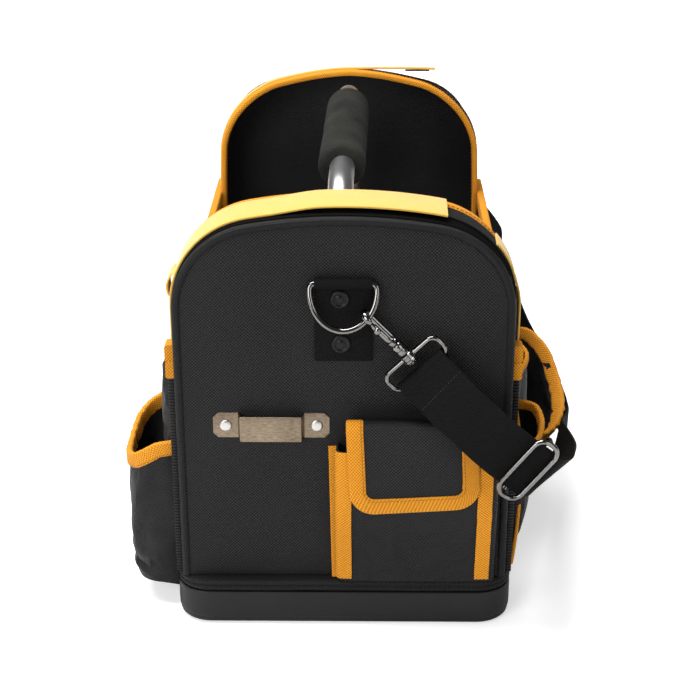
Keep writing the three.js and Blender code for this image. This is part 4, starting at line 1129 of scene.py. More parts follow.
middle, wide, face = strap_at(SLIDER_INDEX)
run = wide.cross(face)
front = face * (1 if face.dot(HOOK_OUT) > 0 else -1)
outline = pillow((-SLIDER_HALF[0], -SLIDER_HALF[1]), SLIDER_HALF, 8, 7)
frame_line = [middle + front * SLIDER_LIFT + wide * a + run * b for a, b in outline]
bar_line = [middle + wide * a + front * b for a, b in (
    (-SLIDER_HALF[0], SLIDER_LIFT), (-SLIDER_HALF[0], -SLIDER_LIFT), (SLIDER_HALF[0], -SLIDER_LIFT),
    (SLIDER_HALF[0], SLIDER_LIFT))]
slider = joined("slider_frame", rod("slider_loop", frame_line, face, SLIDER_WIRE, 14, True),
                rod("slider_bar", bent(bar_line, 2.5), run, SLIDER_WIRE, 12))
dress(slider, NICKEL, "nickel", "slider", "strap_slider")

# %% [markdown]
# The ring's tab is one length of webbing, folded round the ring's straight bar and sewn down with two caps.
# The fold is drawn as it is made: up the back, round the bar and down the front.

# %% Ring tabs and rings
RING_BAR = Vector((0, -233.45, 272))
TAB_HALF = 20.0
TAB_BOTTOM = 214.0
TAB_LAYER = 1.6
FOLD = 3.35
FOLD_TURN = 301.5
RING_TILT = math.radians(18)
RING_WIRE = 2.25
RING_HALF = 23.25
RING_CORNER = 4.3
RING_OVAL = 28.45
CAP_PROFILE = ((6.6, 0), (6.6, 0.9), (6.2, 1.4), (5.2, 1.6), (4.4, 1.3), (4.0, 0.9), (3.2, 0.9),
               (2.8, 1.3), (1.6, 1.5), (0.1, 1.5))


def tab_line():
    back, front = -FACE - 0.3 - TAB_LAYER / 2, -FACE - 0.3 - 1.5 * TAB_LAYER
    line = [(back, TAB_BOTTOM + step * 6) for step in range(10)]
    line += arc((RING_BAR.y, RING_BAR.z), FOLD, 0, FOLD_TURN, 14)
    line += [(front, TAB_BOTTOM + step * 6) for step in reversed(range(9))]
    return [Vector((0, y, z)) for y, z in line]


def ring_line():
    flat = [(x, 0) for x in (-16, -8, 0, 8, 16)]
    for step in range(7):
        t = step / 6
        flat.append((RING_HALF - RING_CORNER * (1 - t) ** 2, RING_CORNER * t * t))
    for step in range(1, 36):
        turn = math.pi * step / 36
        flat.append((RING_HALF * math.cos(turn), RING_CORNER + RING_OVAL * math.sin(turn)))
    flat += [(-x, drop) for x, drop in reversed(flat[5:12])]
    tilt = Vector((0, -math.sin(RING_TILT), -math.cos(RING_TILT)))
    return [RING_BAR + Vector((x, 0, 0)) + tilt * drop for x, drop in flat]


for side, end in ENDS.items():
    tab = sweep(f"{side}_tab_webbing", rod_frames([mirror(p, end) for p in tab_line()], (1, 0, 0)),
                pillow((-TAB_LAYER / 2, -TAB_HALF), (TAB_LAYER / 2, TAB_HALF), 0.6))
    dress(tab, WEBBING, "webbing", "bag", f"{side}_ring_tab")
    for number, (x, z) in enumerate(((-2.4, 260.2), (-1.6, 227.0))):
        place = mirror(Vector((x, -FACE - 0.3 - 2 * TAB_LAYER, z)), end)
        dress(turned(f"{side}_cap_{number}", CAP_PROFILE, place, (0, end, 0)), CAP_BLACK, "webbing", "bag")
    tilted = mirror(Vector((0, -math.cos(RING_TILT), math.sin(RING_TILT))), end)
    wire = rod(f"{side}_d_ring", [mirror(p, end) for p in ring_line()], tilted, RING_WIRE, 16, True)
    dress(wire, NICKEL, "nickel", f"{side}_ring_body", f"{side}_ring")

# %% [markdown]
# The snap hook is cast in one piece: a flat bar bent into an open loop, a barrel, and a shank that turns in
# the boss of the swivel eye. The gate that closes the loop is a separate sprung lever with a thumb knob, so
# it is its own piece on its own body. The eye is wire with a boss on its upper side.

# %% Snap hooks
LOOP_HALF = 5.8
LOOP_BAR = (1.6, 2.4)
LOOP_SPAN = (7.4, 28.6)
MOUTH = (9.6, 29.0)
GATE_PLACE = 6.0
GATE_BAR = (1.45, 2.1)
KNOB_PLACE = 16.0
KNOB = ((1.5, 0), (1.6, 1.0), (2.3, 1.8), (2.5, 2.6), (2.1, 3.3), (1.0, 3.7), (0.1, 3.7))
BARREL = ((3.2, 33.4), (4.3, 34.4), (4.6, 35.4), (4.6, 37.6), (4.0, 38.0), (4.0, 38.6), (4.6, 39.0),
          (4.6, 42.0), (4.2, 42.9), (2.5, 43.0), (2.5, 50.7), (3.8, 50.8), (4.2, 51.4), (3.7, 52.4),
          (2.0, 52.8), (0.1, 52.9))
BOSS = ((2.75, 43.4), (5.0, 43.4), (5.5, 43.9), (5.5, 45.2), (5.0, 45.6), (5.0, 48.0), (5.5, 48.4),
        (5.5, 49.8), (5.0, 50.3), (2.75, 50.3))
EYE_HALF = 23.7
EYE_CORNER = 6.0
EYE_WIRE = 1.8


def hook_line():
    nose = arc((LOOP_SPAN[0], 0), LOOP_HALF, 90, 270, 12)
    heel = arc((LOOP_SPAN[1], 0), LOOP_HALF, -90, 90, 12)
    return [(MOUTH[0], LOOP_HALF), *nose, *heel, (MOUTH[1] - 0.2, LOOP_HALF)]


def slim_end(points, bar):
    """Sections of an oval bar that is rounded off at both ends."""
    last = len(points) - 1
    return lambda i: [(a * bar[0], b * bar[1]) for a, b in disc(0.55 if i in (0, last) else 1.0, 14)]


for side, end in ENDS.items():
    across = mirror(HOOK_ACROSS, end)
    along = HOOK_ALONG
    flat_line = hook_line()
    loop = sweep(f"{side}_hook_loop", rod_frames([at_hook(end, a, b) for a, b in flat_line], across),
                 slim_end(flat_line, LOOP_BAR))
    post = turned(f"{side}_hook_post", BARREL, at_hook(end, 0, 0), along)
    dress(joined(f"{side}_snap_hook", loop, post), NICKEL, "nickel", f"{side}_hook_body", f"{side}_hook")
    gate_line = [(place, GATE_PLACE) for place in spread(MOUTH[0] + 0.7, MOUTH[1] - 0.5, 8)]
    lever = sweep(f"{side}_gate_lever", rod_frames([at_hook(end, a, b) for a, b in gate_line], across),
                  slim_end(gate_line, GATE_BAR))
    knob_foot = at_hook(end, KNOB_PLACE, GATE_PLACE + 0.4)
    knob = turned(f"{side}_gate_knob", KNOB, knob_foot, mirror(HOOK_OUT, end), 20)
    dress(joined(f"{side}_sprung_gate", lever, knob), NICKEL, "nickel", f"{side}_gate_body", f"{side}_gate")
    oblong_line = [at_hook(end, (EYE_TOP + EYE_BAR) / 2 + b, 0, a) for a, b in pillow(
        (-EYE_HALF, -(EYE_BAR - EYE_TOP) / 2), (EYE_HALF, (EYE_BAR - EYE_TOP) / 2), EYE_CORNER, 7)]
    eye = joined(f"{side}_eye_wire", rod(f"{side}_eye_loop", oblong_line, HOOK_OUT, EYE_WIRE, 14, True),
                 turned(f"{side}_eye_boss", BOSS, at_hook(end, 0, 0), along, hollow=True))
    dress(eye, NICKEL, "nickel", f"{side}_ring_body", f"{side}_swivel_eye")

hook_pieces = [strap_hook, strap_over, strap_down, slider]
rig.cord(strap_long, exit=strap_line[0], length=strap_length, diameter=STRAP_WIDTH * MM, far_end="object",
        stiffness="medium", path=strap_line, with_pieces=hook_pieces)

# %% [markdown]
# Over each end runs a yellow strap. It is sewn down over the left shoulder, and its free tail lies over
# the right shoulder, where hook tape under it grips loop tape on the hood. One ribbon makes both: it bends
# about the last stitch, so strap and tail stay one piece when the tail is peeled. The front hood also
# carries three slack lengths of the same webbing, each bowed between its stitches.

# %% Top straps and tapes
TOP_SPAN = (-218.7, -188.7)
TOP_LAYER = 1.7
TOP_FOOT = 0.82
TAIL_START = {"front": 2.1, "rear": 2.46}
FRONT_TAIL_END = 3.04
REAR_TAIL = 84.0
TAIL_RISE = (0.3, 3.1)
SLACK_RUNS = {"left": ((1.04, 1.22), 4.5), "right_high": ((3.5, 3.82), 1.8),
              "right_low": ((3.84, 4.26), 3.3)}
SLACK_FOOT = 1.5
SLACK_LAYER = 1.5
SLACK_SPAN = (TOP_SPAN[0] + 9, TOP_SPAN[1])
TAPE_START = 2.8
TAPE_END = 3.95
FRONT_PAD_END = 2.98
REAR_PAD = (57.0, 78.9)
TAPE_SPAN = (-211.7, -195.7)
PEEL_SPAN = 7.0


def strap_rise(place, start):
    """How far the strap stands off the hood: a ramp where the free tail begins."""
    return TAIL_RISE[0] + ease((place - start) / 0.3) * (TAIL_RISE[1] - TAIL_RISE[0])


def top_section(rise, layer=TOP_LAYER, span=TOP_SPAN, round_by=0.55):
    return pillow((rise, span[0]), (rise + layer, span[1]), round_by)


def top_ribbon(side, end):
    if side == "front":
        start = TAIL_START[side]
        return arch_sweep("front_top_ribbon", TOP_FOOT, FRONT_TAIL_END,
                          lambda place: top_section(strap_rise(place, start)), end)
    rows = []
    for place in arch_places(TOP_FOOT, TAIL_START[side]):
        rows.append([arch(place, rise, end * -y) for rise, y in top_section(TAIL_RISE[0])])
    for share in spread(0, 1, 14)[1:]:
        shift = Vector((REAR_TAIL * share, 0, 0.5 * math.sin(math.pi * share)))
        rows.append([arch(TAIL_START[side], rise, end * -y) + shift for rise, y in top_section(TAIL_RISE[0])])
    return skin("rear_top_ribbon", rows, ring=True, caps=True)


for side, end in ENDS.items():
    peel = Vector(hinges[f"{side}_tail_peel"]["pos_m"]) / MM
    reach = Vector((PEEL_SPAN, 0, 0))
    ribbon = top_ribbon(side, end)
    dress_bending(ribbon, TOP_WEBBING, "binding", ("bag", f"{side}_tail"), (peel - reach, peel + reach),
                  f"{side}_top_strap", f"{side}_strap_tail")
    tape = arch_sweep(f"{side}_loop_pile", TAPE_START, TAPE_END, top_section(0.3, 1.2, TAPE_SPAN, 0.5), end)
    dress(tape, NAPPED, "tape", "bag", f"{side}_loop_tape")
pad_section = top_section(1.65, 1.2, TAPE_SPAN, 0.4)
hooks = arch_sweep("front_hook_pad", TAPE_START, FRONT_PAD_END, pad_section, -1)
dress(hooks, NAPPED, "tape", "front_tail", "front_hook_tape")
for label, ((first, last), height) in SLACK_RUNS.items():
    rows = []
    for share in spread(0, 1, 24):
        bow = math.sin(math.pi * share) ** 0.6
        outline = top_section(SLACK_FOOT + (height - SLACK_FOOT) * bow, SLACK_LAYER, SLACK_SPAN)
        rows.append([arch(first + (last - first) * share, rise, y) for rise, y in outline])
    dress(skin(f"front_strap_slack_{label}", rows, ring=True, caps=True), TOP_WEBBING, "binding", "bag")
tail_foot = [arch(TAIL_START["rear"], rise, -y) for rise, y in top_section(-1.1, 1.1, TAPE_SPAN, 0.4)]
pad_rows = [[point + Vector((shift, 0, 0)) for point in tail_foot] for shift in spread(*REAR_PAD, 3)]
pad = skin("rear_hook_pad", pad_rows, ring=True, caps=True)
dress(pad, NAPPED, "tape", "rear_tail", "rear_hook_tape")

# %% [markdown]
# The handle is a bent steel tube whose legs go down to the floor board. A closed-cell foam sleeve is
# pushed over its middle: foam yields, so its outline is a little uneven and its ends are rounded.

# %% Handle
TUBE_RADIUS = 9.5
HANDLE_Z = 312.0
LEG_Y = 168.0
LEG_FOOT = 10.8
HANDLE_BEND = 43.0
GRIP_HALF = 90.0
GRIP_RADIUS = 17.5
GRIP_BORE = 9.7
GRIP_ROUND = 5.5
HANDLE_LEAN = 3.0
SOCKET = ((9.8, 0), (26.6, 0), (27.0, 0.4), (27.0, 2.0), (26.5, 2.5), (13.4, 2.5), (12.4, 3.4), (12.4, 39.2),
          (11.8, 40.0), (9.8, 40.0))
SOCKET_Z = 8.3
RIVET_RING = (20.0, 2.4)
SOCKET_RIVET = ((2.6, 0), (2.5, 0.8), (1.8, 1.4), (0.1, 1.7))


def leaned(place):
    """The handle is bent a touch askew: its front end stands a little to the left."""
    side = min(max((GRIP_HALF - place.y) / (2 * GRIP_HALF), 0.0), 1.0)
    return place + Vector((-HANDLE_LEAN * side * ease(place.z / HANDLE_Z), 0, 0))


def handle_line():
    heights = [LEG_FOOT + step * 25 for step in range(11)]
    reach, low = LEG_Y - HANDLE_BEND, HANDLE_Z - HANDLE_BEND
    line = [(-LEG_Y, z) for z in heights]
    line += arc((-reach, low), HANDLE_BEND, 180, 90, 12) + arc((reach, low), HANDLE_BEND, 90, 0, 12)
    line += [(LEG_Y, z) for z in reversed(heights)]
    return [Vector((0, y, z)) for y, z in line]


def grip_profile():
    inner, reach = GRIP_RADIUS - GRIP_ROUND, GRIP_HALF - GRIP_ROUND
    length = [(GRIP_RADIUS, -GRIP_HALF + 9 + step * 9) for step in range(19)]
    return [(GRIP_BORE, -GRIP_HALF), *arc((inner, -reach), GRIP_ROUND, -90, 0, 6), *length,
            *arc((inner, reach), GRIP_ROUND, 0, 90, 6), (GRIP_BORE, GRIP_HALF)]


pipe = rod("handle_pipe", [leaned(p) for p in handle_line()], (1, 0, 0), TUBE_RADIUS, 32)
dress(pipe, TUBE_STEEL, "chrome", "bag", "handle_tube")
grip = turned("grip_sleeve", grip_profile(), (0, 0, HANDLE_Z), (0, 1, 0), 40, hollow=True)
for vertex in grip.data.vertices:
    offset = vertex.co / MM - Vector((0, 0, HANDLE_Z))
    spoke = Vector((offset.x, 0, offset.z))
    if spoke.length > GRIP_BORE + 1:
        vertex.co += spoke.normalized() * MM * (0.5 + 0.35 * slow(*offset, 30) + 0.12 * slow(*offset, 6))
    vertex.co.x += leaned(Vector((0, offset.y, HANDLE_Z))).x * MM
dress(grip, FOAM, "foam", "bag", "foam_grip")
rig.padded(grip, fill=0.8)
for side, end in ENDS.items():
    foot_place = Vector((0, end * LEG_Y, SOCKET_Z))
    socket = [turned(f"{side}_socket", SOCKET, foot_place, (0, 0, 1), 40, hollow=True)]
    for quarter, (x, y) in enumerate(arc((0, 0), RIVET_RING[0], 45, 315, 3)):
        spot = foot_place + Vector((x, y, RIVET_RING[1]))
        socket.append(turned(f"{side}_socket_rivet_{quarter}", SOCKET_RIVET, spot, (0, 0, 1), 14))
    dress(joined(f"{side}_leg_socket", *socket), NICKEL, "nickel", "bag", f"{side}_handle_socket")

# %% [markdown]
# The tape-measure clip is pressed from a strip of steel: two riveted tabs and a raised bridge between them.
# A strip is a section carried along a bent line, so the press's soft corners come from softening the line.

# %% Tape clip
CLIP_Z = 163.0
CLIP_HALF = 9.75
CLIP_SHEET = 1.5
CLIP_ENDS = (-93.0, -10.0)
CLIP_CHAMFER = 3.6
CLIP_LINE = ((-93, 1.05), (-89.4, 1.05), (-74.6, 1.05), (-73.0, 8.55), (-30.0, 8.55), (-28.4, 1.05),
             (-13.6, 1.05), (-10, 1.05))
RIVET_HEAD = ((4.3, 0), (4.3, 0.6), (4.0, 1.1), (3.4, 1.4), (1.8, 1.55), (0.1, 1.6))


def clip_section(place):
    """The strip's section, narrower towards the cut corners of its ends."""
    near = min(place.x - CLIP_ENDS[0], CLIP_ENDS[1] - place.x)
    half = CLIP_HALF - max(0.0, CLIP_CHAMFER - near)
    return pillow((-CLIP_SHEET / 2, -half), (CLIP_SHEET / 2, half), 0.4)


clip_line = bent([(x, -FACE - out, CLIP_Z) for x, out in CLIP_LINE], 0.75)
clip = sweep("clip_strip", rod_frames(clip_line, (0, 0, 1)), lambda i: clip_section(clip_line[i]))
dress(clip, CLIP_STEEL, "clip_steel", "bag", "tape_clip")
for label, x in (("left", -84.0), ("right", -19.0)):
    head = turned(f"clip_head_{label}", RIVET_HEAD, (x, -FACE - 1.8, CLIP_Z), (0, -1, 0), 24)
    dress(head, RIVET_STEEL, "nickel", "bag", f"clip_rivet_{label}")

# %% [markdown]
# The pouches are the soft part of the bag. Each is a sheet wrapped round a plan, narrower at its foot, with
# a mouth of uneven height. A short cloth simulation then lets the sheet hang: its sewn edges are pinned, the
# cloth is cut a little long, and the slack becomes shallow folds. The movement is capped, so that the cloth
# stays sewn on.

# %% Hanging cloth
HANG_FRAMES = 16


def resampled(points, count):
    """The same run of points with even spacing."""
    points = [Vector(point) for point in points]
    total = [0.0]
    for a, b in zip(points, points[1:]):
        total.append(total[-1] + (b - a).length)
    even, k = [], 0
    for step in range(count):
        goal = total[-1] * step / (count - 1)
        while k < len(points) - 2 and total[k + 1] < goal:
            k += 1
        share = (goal - total[k]) / max(total[k + 1] - total[k], 1e-6)
        even.append(points[k].lerp(points[k + 1], min(share, 1.0)))
    return even


def hang(piece, pinned, slack, weight, reach):
    """Lets a sheet settle as cloth: pinned is each vertex's hold, and reach caps the movement in mm."""
    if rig.quick():
        return piece
    held = piece.vertex_groups.new(name="sewn")
    for vertex in piece.data.vertices:
        held.add([vertex.index], pinned(vertex.index), "REPLACE")
    cloth = piece.modifiers.new("hang", "CLOTH")
    cloth.settings.quality = 6
    cloth.settings.mass = 0.25
    cloth.settings.tension_stiffness = 40
    cloth.settings.compression_stiffness = 40
    cloth.settings.shear_stiffness = 15
    cloth.settings.bending_stiffness = 6
    cloth.settings.shrink_min = -slack
    cloth.settings.vertex_group_mass = held.name
    cloth.settings.effector_weights.gravity = weight
    cloth.collision_settings.use_collision = False
    cloth.point_cache.frame_start, cloth.point_cache.frame_end = 1, HANG_FRAMES
    scene = bpy.context.scene
    for step in range(1, HANG_FRAMES + 1):
        scene.frame_set(step)
    settled = piece.evaluated_get(bpy.context.evaluated_depsgraph_get()).to_mesh()
    places = [vertex.co.copy() for vertex in settled.vertices]
    piece.modifiers.remove(cloth)
    scene.frame_set(1)
    for vertex, place in zip(piece.data.vertices, places):
        shift = place - vertex.co
        if shift.length > reach * MM:
            shift = shift.normalized() * reach * MM
        vertex.co += shift
    return piece


print("cloth hangs for", HANG_FRAMES, "frames")

# %% [markdown]
# A sheet's flat size is what a sewer would cut: its longest row, by its middle from foot to mouth. The tape
# on a pouch's mouth is folded over the edge of the cloth, so its frames lean as the settled cloth does.

# %% Flat sizes and lips
def run_of(points):
    """The length of a run of points."""
    return sum((Vector(b) - Vector(a)).length for a, b in zip(points, points[1:]))


def cut_size(rows):
    """The flat size a sheet is cut to, in metres: along its longest row and up its middle."""
    return max(run_of(row) for row in rows) * MM, run_of([row[len(row) // 2] for row in rows]) * MM


def grid_row(piece, row, count):
    return [piece.data.vertices[row * count + j].co / MM for j in range(count)]


def lip_frames(line, below):
    """Frames for a tape folded over the lip of a pouch: across the cloth and up it."""
    frames = []
    for i, place in enumerate(line):
        run = (line[min(i + 1, len(line) - 1)] - line[max(i - 1, 0)]).normalized()
        across = run.cross((place - below[i]).normalized()).normalized()
        frames.append((place, across, across.cross(run).normalized()))
    return frames


LIP_TAPE = pillow((-2.3, -10.2), (2.3, 1.4), 1.8)
THIN_TAPE = pillow((-1.5, -4.2), (1.5, 0.9), 1.2)
print("lip tape", round(max(b for _, b in LIP_TAPE) - min(b for _, b in LIP_TAPE), 1), "mm high")

# %% [markdown]
# The front pouch is a flat bellows under a flap. Its front corners carry yellow tape, and it is shallow at
# the foot where it is sewn into the welt.

# %% Front pouch
POUCH_EDGES = (-5.0, 111.0)
POUCH_HEIGHT = (39.0, 150.0)
POUCH_DEPTH = (8.0, 18.0)
POUCH_DEEPENS = 75.0
POUCH_GRID = (26, 57)


def pouch_plan(z, grow=0.0):
    rise = ease((z - POUCH_HEIGHT[0]) / POUCH_DEEPENS)
    depth = POUCH_DEPTH[0] + (POUCH_DEPTH[1] - POUCH_DEPTH[0]) * rise + grow
    left, right = POUCH_EDGES[0] - grow, POUCH_EDGES[1] + grow
    back = -FACE - 0.2
    corners = [(left, back, z), (left, back - depth, z), (right, back - depth, z), (right, back, z)]
    return resampled(bent(corners, min(5.0, depth * 0.6)), POUCH_GRID[1])


def fullness(point):
    share = (point.x - POUCH_EDGES[0]) / (POUCH_EDGES[1] - POUCH_EDGES[0])
    middle = max(0.0, math.sin(math.pi * min(max(share, 0), 1)))
    out = middle * (1.2 + 1.2 * slow(point.x, 3, point.z, 38)) if point.y < -FACE - 5 else 0.0
    return point + Vector((0, -out, 0))


heights = spread(*POUCH_HEIGHT, POUCH_GRID[0] - 1)
front_rows = [[fullness(p) for p in pouch_plan(z)] for z in heights]
front_pouch = skin("front_pouch_cloth", front_rows)
columns = POUCH_GRID[1]


def front_hold(index):
    row, column = divmod(index, columns)
    side = min(column, columns - 1 - column)
    return 1.0 if row == 0 or side < 12 else 0.25


hang(front_pouch, front_hold, slack=0.015, weight=0.2, reach=1.2)
thicken(front_pouch, 1.5, (0, 1, 0), 0.4)
dress(front_pouch, BALLISTIC, "ballistic", "bag", "front_pouch")

# %% [markdown]
# Yellow tape covers the pouch's front corners, and one more runs down its seam on the panel. A corner tape
# is cut from the pouch's own plan, drawn a touch larger, so that it lies on the cloth.

# %% Front pouch tapes
BACK_TAPE = pillow((-3.4, -1.2), (3.4, 1.4), 0.8)


def corner_tape(name, left, right, low, high, node_name):
    """A tape laid on the pouch's front between two places across it."""
    rows = []
    for z in spread(low, high, 18):
        plan = resampled(pouch_plan(z, 1.0), 400)
        face = min(p.y for p in plan)
        strip = [p for p in plan if left <= p.x <= right and p.y < (face - FACE) / 2]
        rows.append([fullness(p) + Vector((0, -0.3, 0)) for p in resampled(strip, 10)])
    tape = skin(name, rows)
    thicken(tape, 1.0, (0, 1, 0), 0.3)
    return bind(tape, node_name)


tapes = [corner_tape("pouch_tape_left", -6.0, 6.0, 41.5, 150, "pouch_band_left"),
         corner_tape("pouch_tape_right", 96.0, 107.0, 41.5, 147, "pouch_band_right")]
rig.sheet(front_pouch, flat=cut_size(front_rows), held="hung", rests_on=["front_end_panel"],
         with_pieces=tapes)
back_line = [Vector((-7.5 + 0.02 * (147 - z), -FACE - 1.2, z)) for z in range(39, 149, 6)]
back_frames = [(place, Vector((1, 0, 0)), Vector((0, -1, 0))) for place in back_line]
bind(sweep("pouch_tape_back", back_frames, BACK_TAPE))

# %% [markdown]
# The flap starts at a seam on the panel, runs out over the pouch and turns down in a soft fold. It is cut a
# little askew, as hand-sewn flaps are, and it bends about the fold when it is lifted.

# %% Pouch flap
FLAP_MIDDLE = 48.5
FLAP_HALF = 45.5
FLAP_TOP = 173.0
FLAP_FOLD = 4.0
FLAP_FRONT = 250.2
FLAP_DROP = 64.0
FLAP_SINK = 9.0
FLAP_CORNER = 17.0
FLAP_SKEW = 3.0
FLAP_SLANT = 0.045
FOLD_RUN = FLAP_FOLD * math.pi / 2
FLAP_REACH = FLAP_FRONT - FLAP_FOLD - FACE - 0.4


def flap_place(x, run, lift):
    """A place on the flap: run is measured from the fold's start, negative towards the panel."""
    share = (x - FLAP_MIDDLE) / FLAP_HALF
    fold_y, fold_z = FLAP_FOLD - FLAP_FRONT, FLAP_TOP - FLAP_FOLD
    if run <= 0:
        return Vector((x, fold_y - run, FLAP_TOP + lift - FLAP_SINK * (run / FLAP_REACH) ** 2))
    if run <= FOLD_RUN:
        turn, radius = run / FLAP_FOLD, FLAP_FOLD + lift
        return Vector((x, fold_y - radius * math.sin(turn), fold_z + radius * math.cos(turn)))
    down = run - FOLD_RUN
    belly = 1.2 * (1 - share * share) + 0.7 * slow(x, 11, down, 33)
    belly *= math.sin(math.pi * min(down / FLAP_DROP, 1.0))
    return Vector((x + FLAP_SKEW * down / FLAP_DROP, -FLAP_FRONT - lift - belly,
                   fold_z - down * (1 - FLAP_SLANT * share)))


def flap_half(run, inset=0.0):
    near = FOLD_RUN + FLAP_DROP - run - inset
    corner = FLAP_CORNER - inset
    if near >= corner:
        return FLAP_HALF - inset
    return FLAP_HALF - inset - corner + math.sqrt(max(corner ** 2 - (corner - max(near, 0)) ** 2, 0.0))


flap_rows = []
for run in spread(-FLAP_REACH, FOLD_RUN + FLAP_DROP, 38):
    half = flap_half(run)
    flap_rows.append([flap_place(x, run, 0.0) for x in spread(FLAP_MIDDLE - half, FLAP_MIDDLE + half, 44)])
flap_bend = [Vector((FLAP_MIDDLE, -FLAP_FRONT + FLAP_FOLD, FLAP_TOP)),
             Vector((FLAP_MIDDLE, -FLAP_FRONT, FLAP_TOP - FLAP_FOLD))]
flap = skin("flap_cloth", flap_rows)
thicken(flap, 1.8, (0, 1, -0.2), 0.5)
dress_bending(flap, BALLISTIC, "ballistic", ("bag", "flap"), flap_bend, "pouch_flap", "flap_top")

# %% [markdown]
# The flap's edge is bound in yellow tape. The tape's outline is drawn in the flap's own flat measure and then
# laid on the bent flap, so it follows the corners and the fold, and both bend together.

# %% Flap binding
FLAP_BAND = 11.0
BAND_RUNS = (-1.5, 1, 4, 8, 16, 24, 32, 40, 48, 54)
BAND_SECTION = ((-1.0, -1.6), (-1.1, 0.3), (-0.4, 1.1), (1.0, 1.4), (5.0, 1.3), (10.0, 1.4),
                (FLAP_BAND, 0.9), (FLAP_BAND + 0.1, 0.1))


def flap_edge(inset):
    """The flap's outline in its own flat measure: down the left, along the foot, up the right."""
    low, corner = FOLD_RUN + FLAP_DROP - inset, FLAP_CORNER - inset
    half = FLAP_HALF - inset
    left = arc((corner - half, low - corner), corner, 180, 90, 9)
    foot = [(x, low) for x in (-20, -10, 0, 10, 20)]
    right = arc((half - corner, low - corner), corner, 90, 0, 9)
    return ([(-half, run) for run in BAND_RUNS] + left + foot + right
            + [(half, run) for run in reversed(BAND_RUNS)])


band_rows = [[flap_place(FLAP_MIDDLE + x, run, lift) for x, run in flap_edge(inset)]
             for inset, lift in BAND_SECTION]
band = skin("flap_tape", band_rows)
thicken(band, 0.5, (0, 1, 0), 0.1)
dress_bending(band, BINDING, "binding", ("bag", "flap"), flap_bend, "pouch_flap_binding")
seam = [flap_place(FLAP_MIDDLE + x, run, 1.5) for x, run in flap_edge(FLAP_BAND - 1.6)]
thread = stitches("flap_seam", seam_line(seam, [(0, -1, 0)] * len(seam), 2.9))
dress_bending(thread, YELLOW_THREAD, "binding", ("bag", "flap"), flap_bend)
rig.sheet(flap, flat=cut_size(flap_rows), held="folded", rests_on=["front_pouch_cloth"],
         with_pieces=[band, thread])

# %% [markdown]
# The pouches on the side walls have half-oval plans. The table gives each one's place along the wall, depth,
# foot and the heights of its lip from the rear seam to the front seam, as read from the picture where the
# picture shows them.

# %% Side pouch sizes
WALL_FACE = 125.2
SIDE_GRID = (22, 41)
HEM_ROWS = 3
SMALL_TAPE = pillow((-2.0, -6.5), (2.0, 1.2), 1.6)
SIDE_POUCHES = {
    "left_front_pouch": {"side": -1, "span": (-212, -134), "depth": 37, "foot": 20, "narrow": 1.0,
                         "box": 0.55, "flare": 1, "lip": (147, 134, 119, 124, 140), "tape": LIP_TAPE},
    "left_rear_pouch": {"side": -1, "span": (-120, 0), "depth": 17, "foot": 44, "narrow": 0.9,
                        "box": 0.8, "flare": 0, "lip": (140, 134, 131, 134, 140), "tape": LIP_TAPE},
    "left_upper_pouch": {"side": -1, "span": (-213, -143), "depth": 7, "foot": 118, "narrow": 1.0,
                         "box": 0.6, "flare": 0, "lip": (190, 190, 192, 198, 205), "tape": None},
    "right_small_pouch": {"side": 1, "span": (-211, -168), "depth": 21, "foot": 88, "narrow": 0.7,
                          "box": 0.8, "flare": 2, "lip": (154, 154, 148, 140, 146), "tape": SMALL_TAPE},
    "right_large_pouch": {"side": 1, "span": (-120, 30), "depth": 54, "foot": 48, "narrow": 0.78,
                          "box": 0.8, "flare": 11, "lip": (124, 134, 126, 108, 99, 97, 98, 106),
                          "tape": LIP_TAPE},
    "right_upper_pouch": {"side": 1, "span": (-208, -138), "depth": 15, "foot": 104, "narrow": 1.1,
                          "box": 0.8, "flare": 0, "lip": (192, 186, 181, 191, 203), "tape": THIN_TAPE,
                          "rearward": True},
    "right_gusset": {"side": 1, "span": (-209, -164), "depth": 13, "foot": 38, "narrow": 0.15,
                     "box": 0.6, "flare": 0, "lip": (100, 100, 100, 100, 100), "tape": None},
}


def between(values, share):
    """A smooth reading from a short list of values."""
    scaled = share * (len(values) - 1)
    points = [Vector((value, 0, 0)) for value in values]
    return curve_at(points, scaled).x


print("side pouches", len(SIDE_POUCHES))

# %% [markdown]
# One function sews all of them. It wraps a sheet round the half oval, tucks a hem under its foot, lets it
# hang, and then sweeps a folded tape along the mouth where the settled cloth has come to rest.

# %% Side pouches
INNER_LIP = (Vector((127.4, -168, 154)), Vector((127.4, -211, 146)))


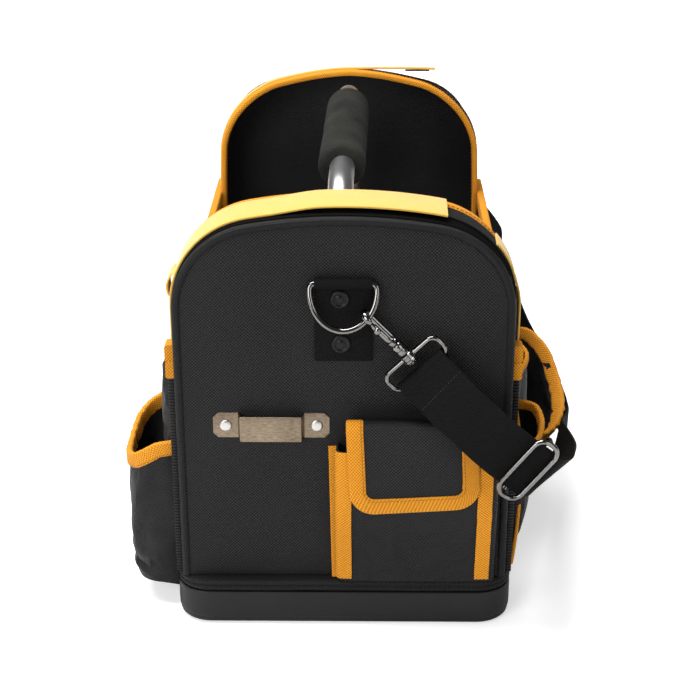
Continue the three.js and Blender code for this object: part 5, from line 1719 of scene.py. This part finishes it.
def side_pouch(name, facts):
    rows_count, count = SIDE_GRID
    side, foot, flare = facts["side"], facts["foot"], facts["flare"]
    depth = facts["depth"] - flare
    first, last = facts["span"]
    middle, half = (first + last) / 2, (last - first) / 2
    rows = []
    for i in range(-HEM_ROWS, rows_count):
        row = []
        for j in range(count):
            share = j / (count - 1)
            turn = math.pi * (0.5 - share)
            lip = between(facts["lip"], share)
            rise = max(i, 0) / (rows_count - 1)
            z = foot + (lip - foot) * rise + (0 if i >= 0 else 0.6 * i)
            size = facts["narrow"] + (1 - facts["narrow"]) * ease(rise * 1.15)
            size *= 1.0 if i >= 0 else (1 + i / 3.4)
            oval = max(math.cos(turn), 0.0) ** facts["box"]
            if "rearward" in facts:
                oval *= 0.12 + 0.88 * ease((0.62 - share) / 0.4)
            crease = 1 + 0.05 * (1 - 0.8 * rise) * slow(side * 20 + share * 9, foot, z / 3, 2.2)
            out = depth * size * oval * crease + flare * oval * ease((rise - 0.78) / 0.3) / ease(0.22 / 0.3)
            along = middle + half * (0.94 + 0.06 * rise) * math.sin(turn)
            row.append((side * (WALL_FACE + out), along, z))
        rows.append(row)
    sheet = skin(f"{name}_cloth", rows)

    def hold(index):
        row, column = divmod(index, count)
        if row <= HEM_ROWS or column in (0, count - 1):
            return 1.0
        return 0.8 if row >= rows_count else 0.06

    hang(sheet, hold, slack=0.03, weight=0.6, reach=3.5)
    top = HEM_ROWS + rows_count - 1
    lip, below = grid_row(sheet, top, count), grid_row(sheet, top - 2, count)
    thicken(sheet, 1.6, (-side, 0, 0), 0.4)
    replaced = [name] if facts["tape"] in (None, THIN_TAPE) else [name, f"{name}_binding"]
    if name not in frame["nodes"]:
        replaced = []
    dress(sheet, BALLISTIC, "ballistic", "bag", *replaced)
    sewn_on = []
    if facts["tape"]:
        frames = lip_frames(lip, below)
        sewn_on.append(bind(sweep(f"{name}_lip", frames, facts["tape"])))
        low = min(b for _, b in facts["tape"])
        reach = max(a for a, _ in facts["tape"])
        for label, sign in (("out", 1), ("in", -1)):
            line = [place + across * sign * (reach + 0.05) + rise * (low + 1.7)
                    for place, across, rise in frames]
            facing = [across * sign for _, across, _ in frames]
            sewn_on.append(stitch_row(f"{name}_lip_seam_{label}", line, facing, 3.0))
    wall = "left_wall" if side < 0 else "right_wall"
    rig.sheet(sheet, flat=cut_size(rows), held="hung", rests_on=[wall], with_pieces=sewn_on)
    print(sheet.name, "cut", [round(size, 3) for size in cut_size(rows)])


for name, facts in SIDE_POUCHES.items():
    side_pouch(name, facts)
inner_frames = [(INNER_LIP[0].lerp(INNER_LIP[1], share), Vector((1, 0, 0)), Vector((0, 0.35, 0.94)))
                for share in spread(0, 1, 8)]
bind(sweep("right_small_pouch_inner_lip", inner_frames, SMALL_TAPE))

# %% [markdown]
# Two small trims finish the side walls: a folded tab of tape where each wall's bound edge meets the front
# hood, and the thin bound edge of the gusset at the foot of the right front corner.

# %% Trims
EDGE_TAB = {"x": 122.8, "z": 217.5, "run": (-221, -209), "section": pillow((-3.0, -9.8), (4.0, 3.0), 2.0)}
GUSSET_EDGE = ((130.5, -206.5, 100), (130, -207, 84), (129, -207.5, 66), (127.5, -208.5, 50), (126, -209, 38))
GUSSET_CORD = 1.5

for label, side in (("left", -1), ("right", 1)):
    fold = [(Vector((side * EDGE_TAB["x"], y, EDGE_TAB["z"])), Vector((side, 0, 0)), Vector((0, 0, 1)))
            for y in spread(*EDGE_TAB["run"], 4)]
    bind(sweep(f"{label}_edge_tab", fold, EDGE_TAB["section"]))
gusset_places = [Vector(place) for place in GUSSET_EDGE]
gusset = resampled([curve_at(gusset_places, place) for place in spread(0, len(GUSSET_EDGE) - 1, 24)], 25)
bind(rod("right_gusset_edge", gusset, (0, 1, 0), GUSSET_CORD, 10))

# %% Finish
visual_low, visual_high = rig.bounds()
print("dressed box", [round(v, 3) for v in visual_low], [round(v, 3) for v in visual_high])
with open("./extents.json", "w") as out_file:
    json.dump({"cad": [list(cad_low), list(cad_high)], "visual": [list(visual_low), list(visual_high)]}, out_file)
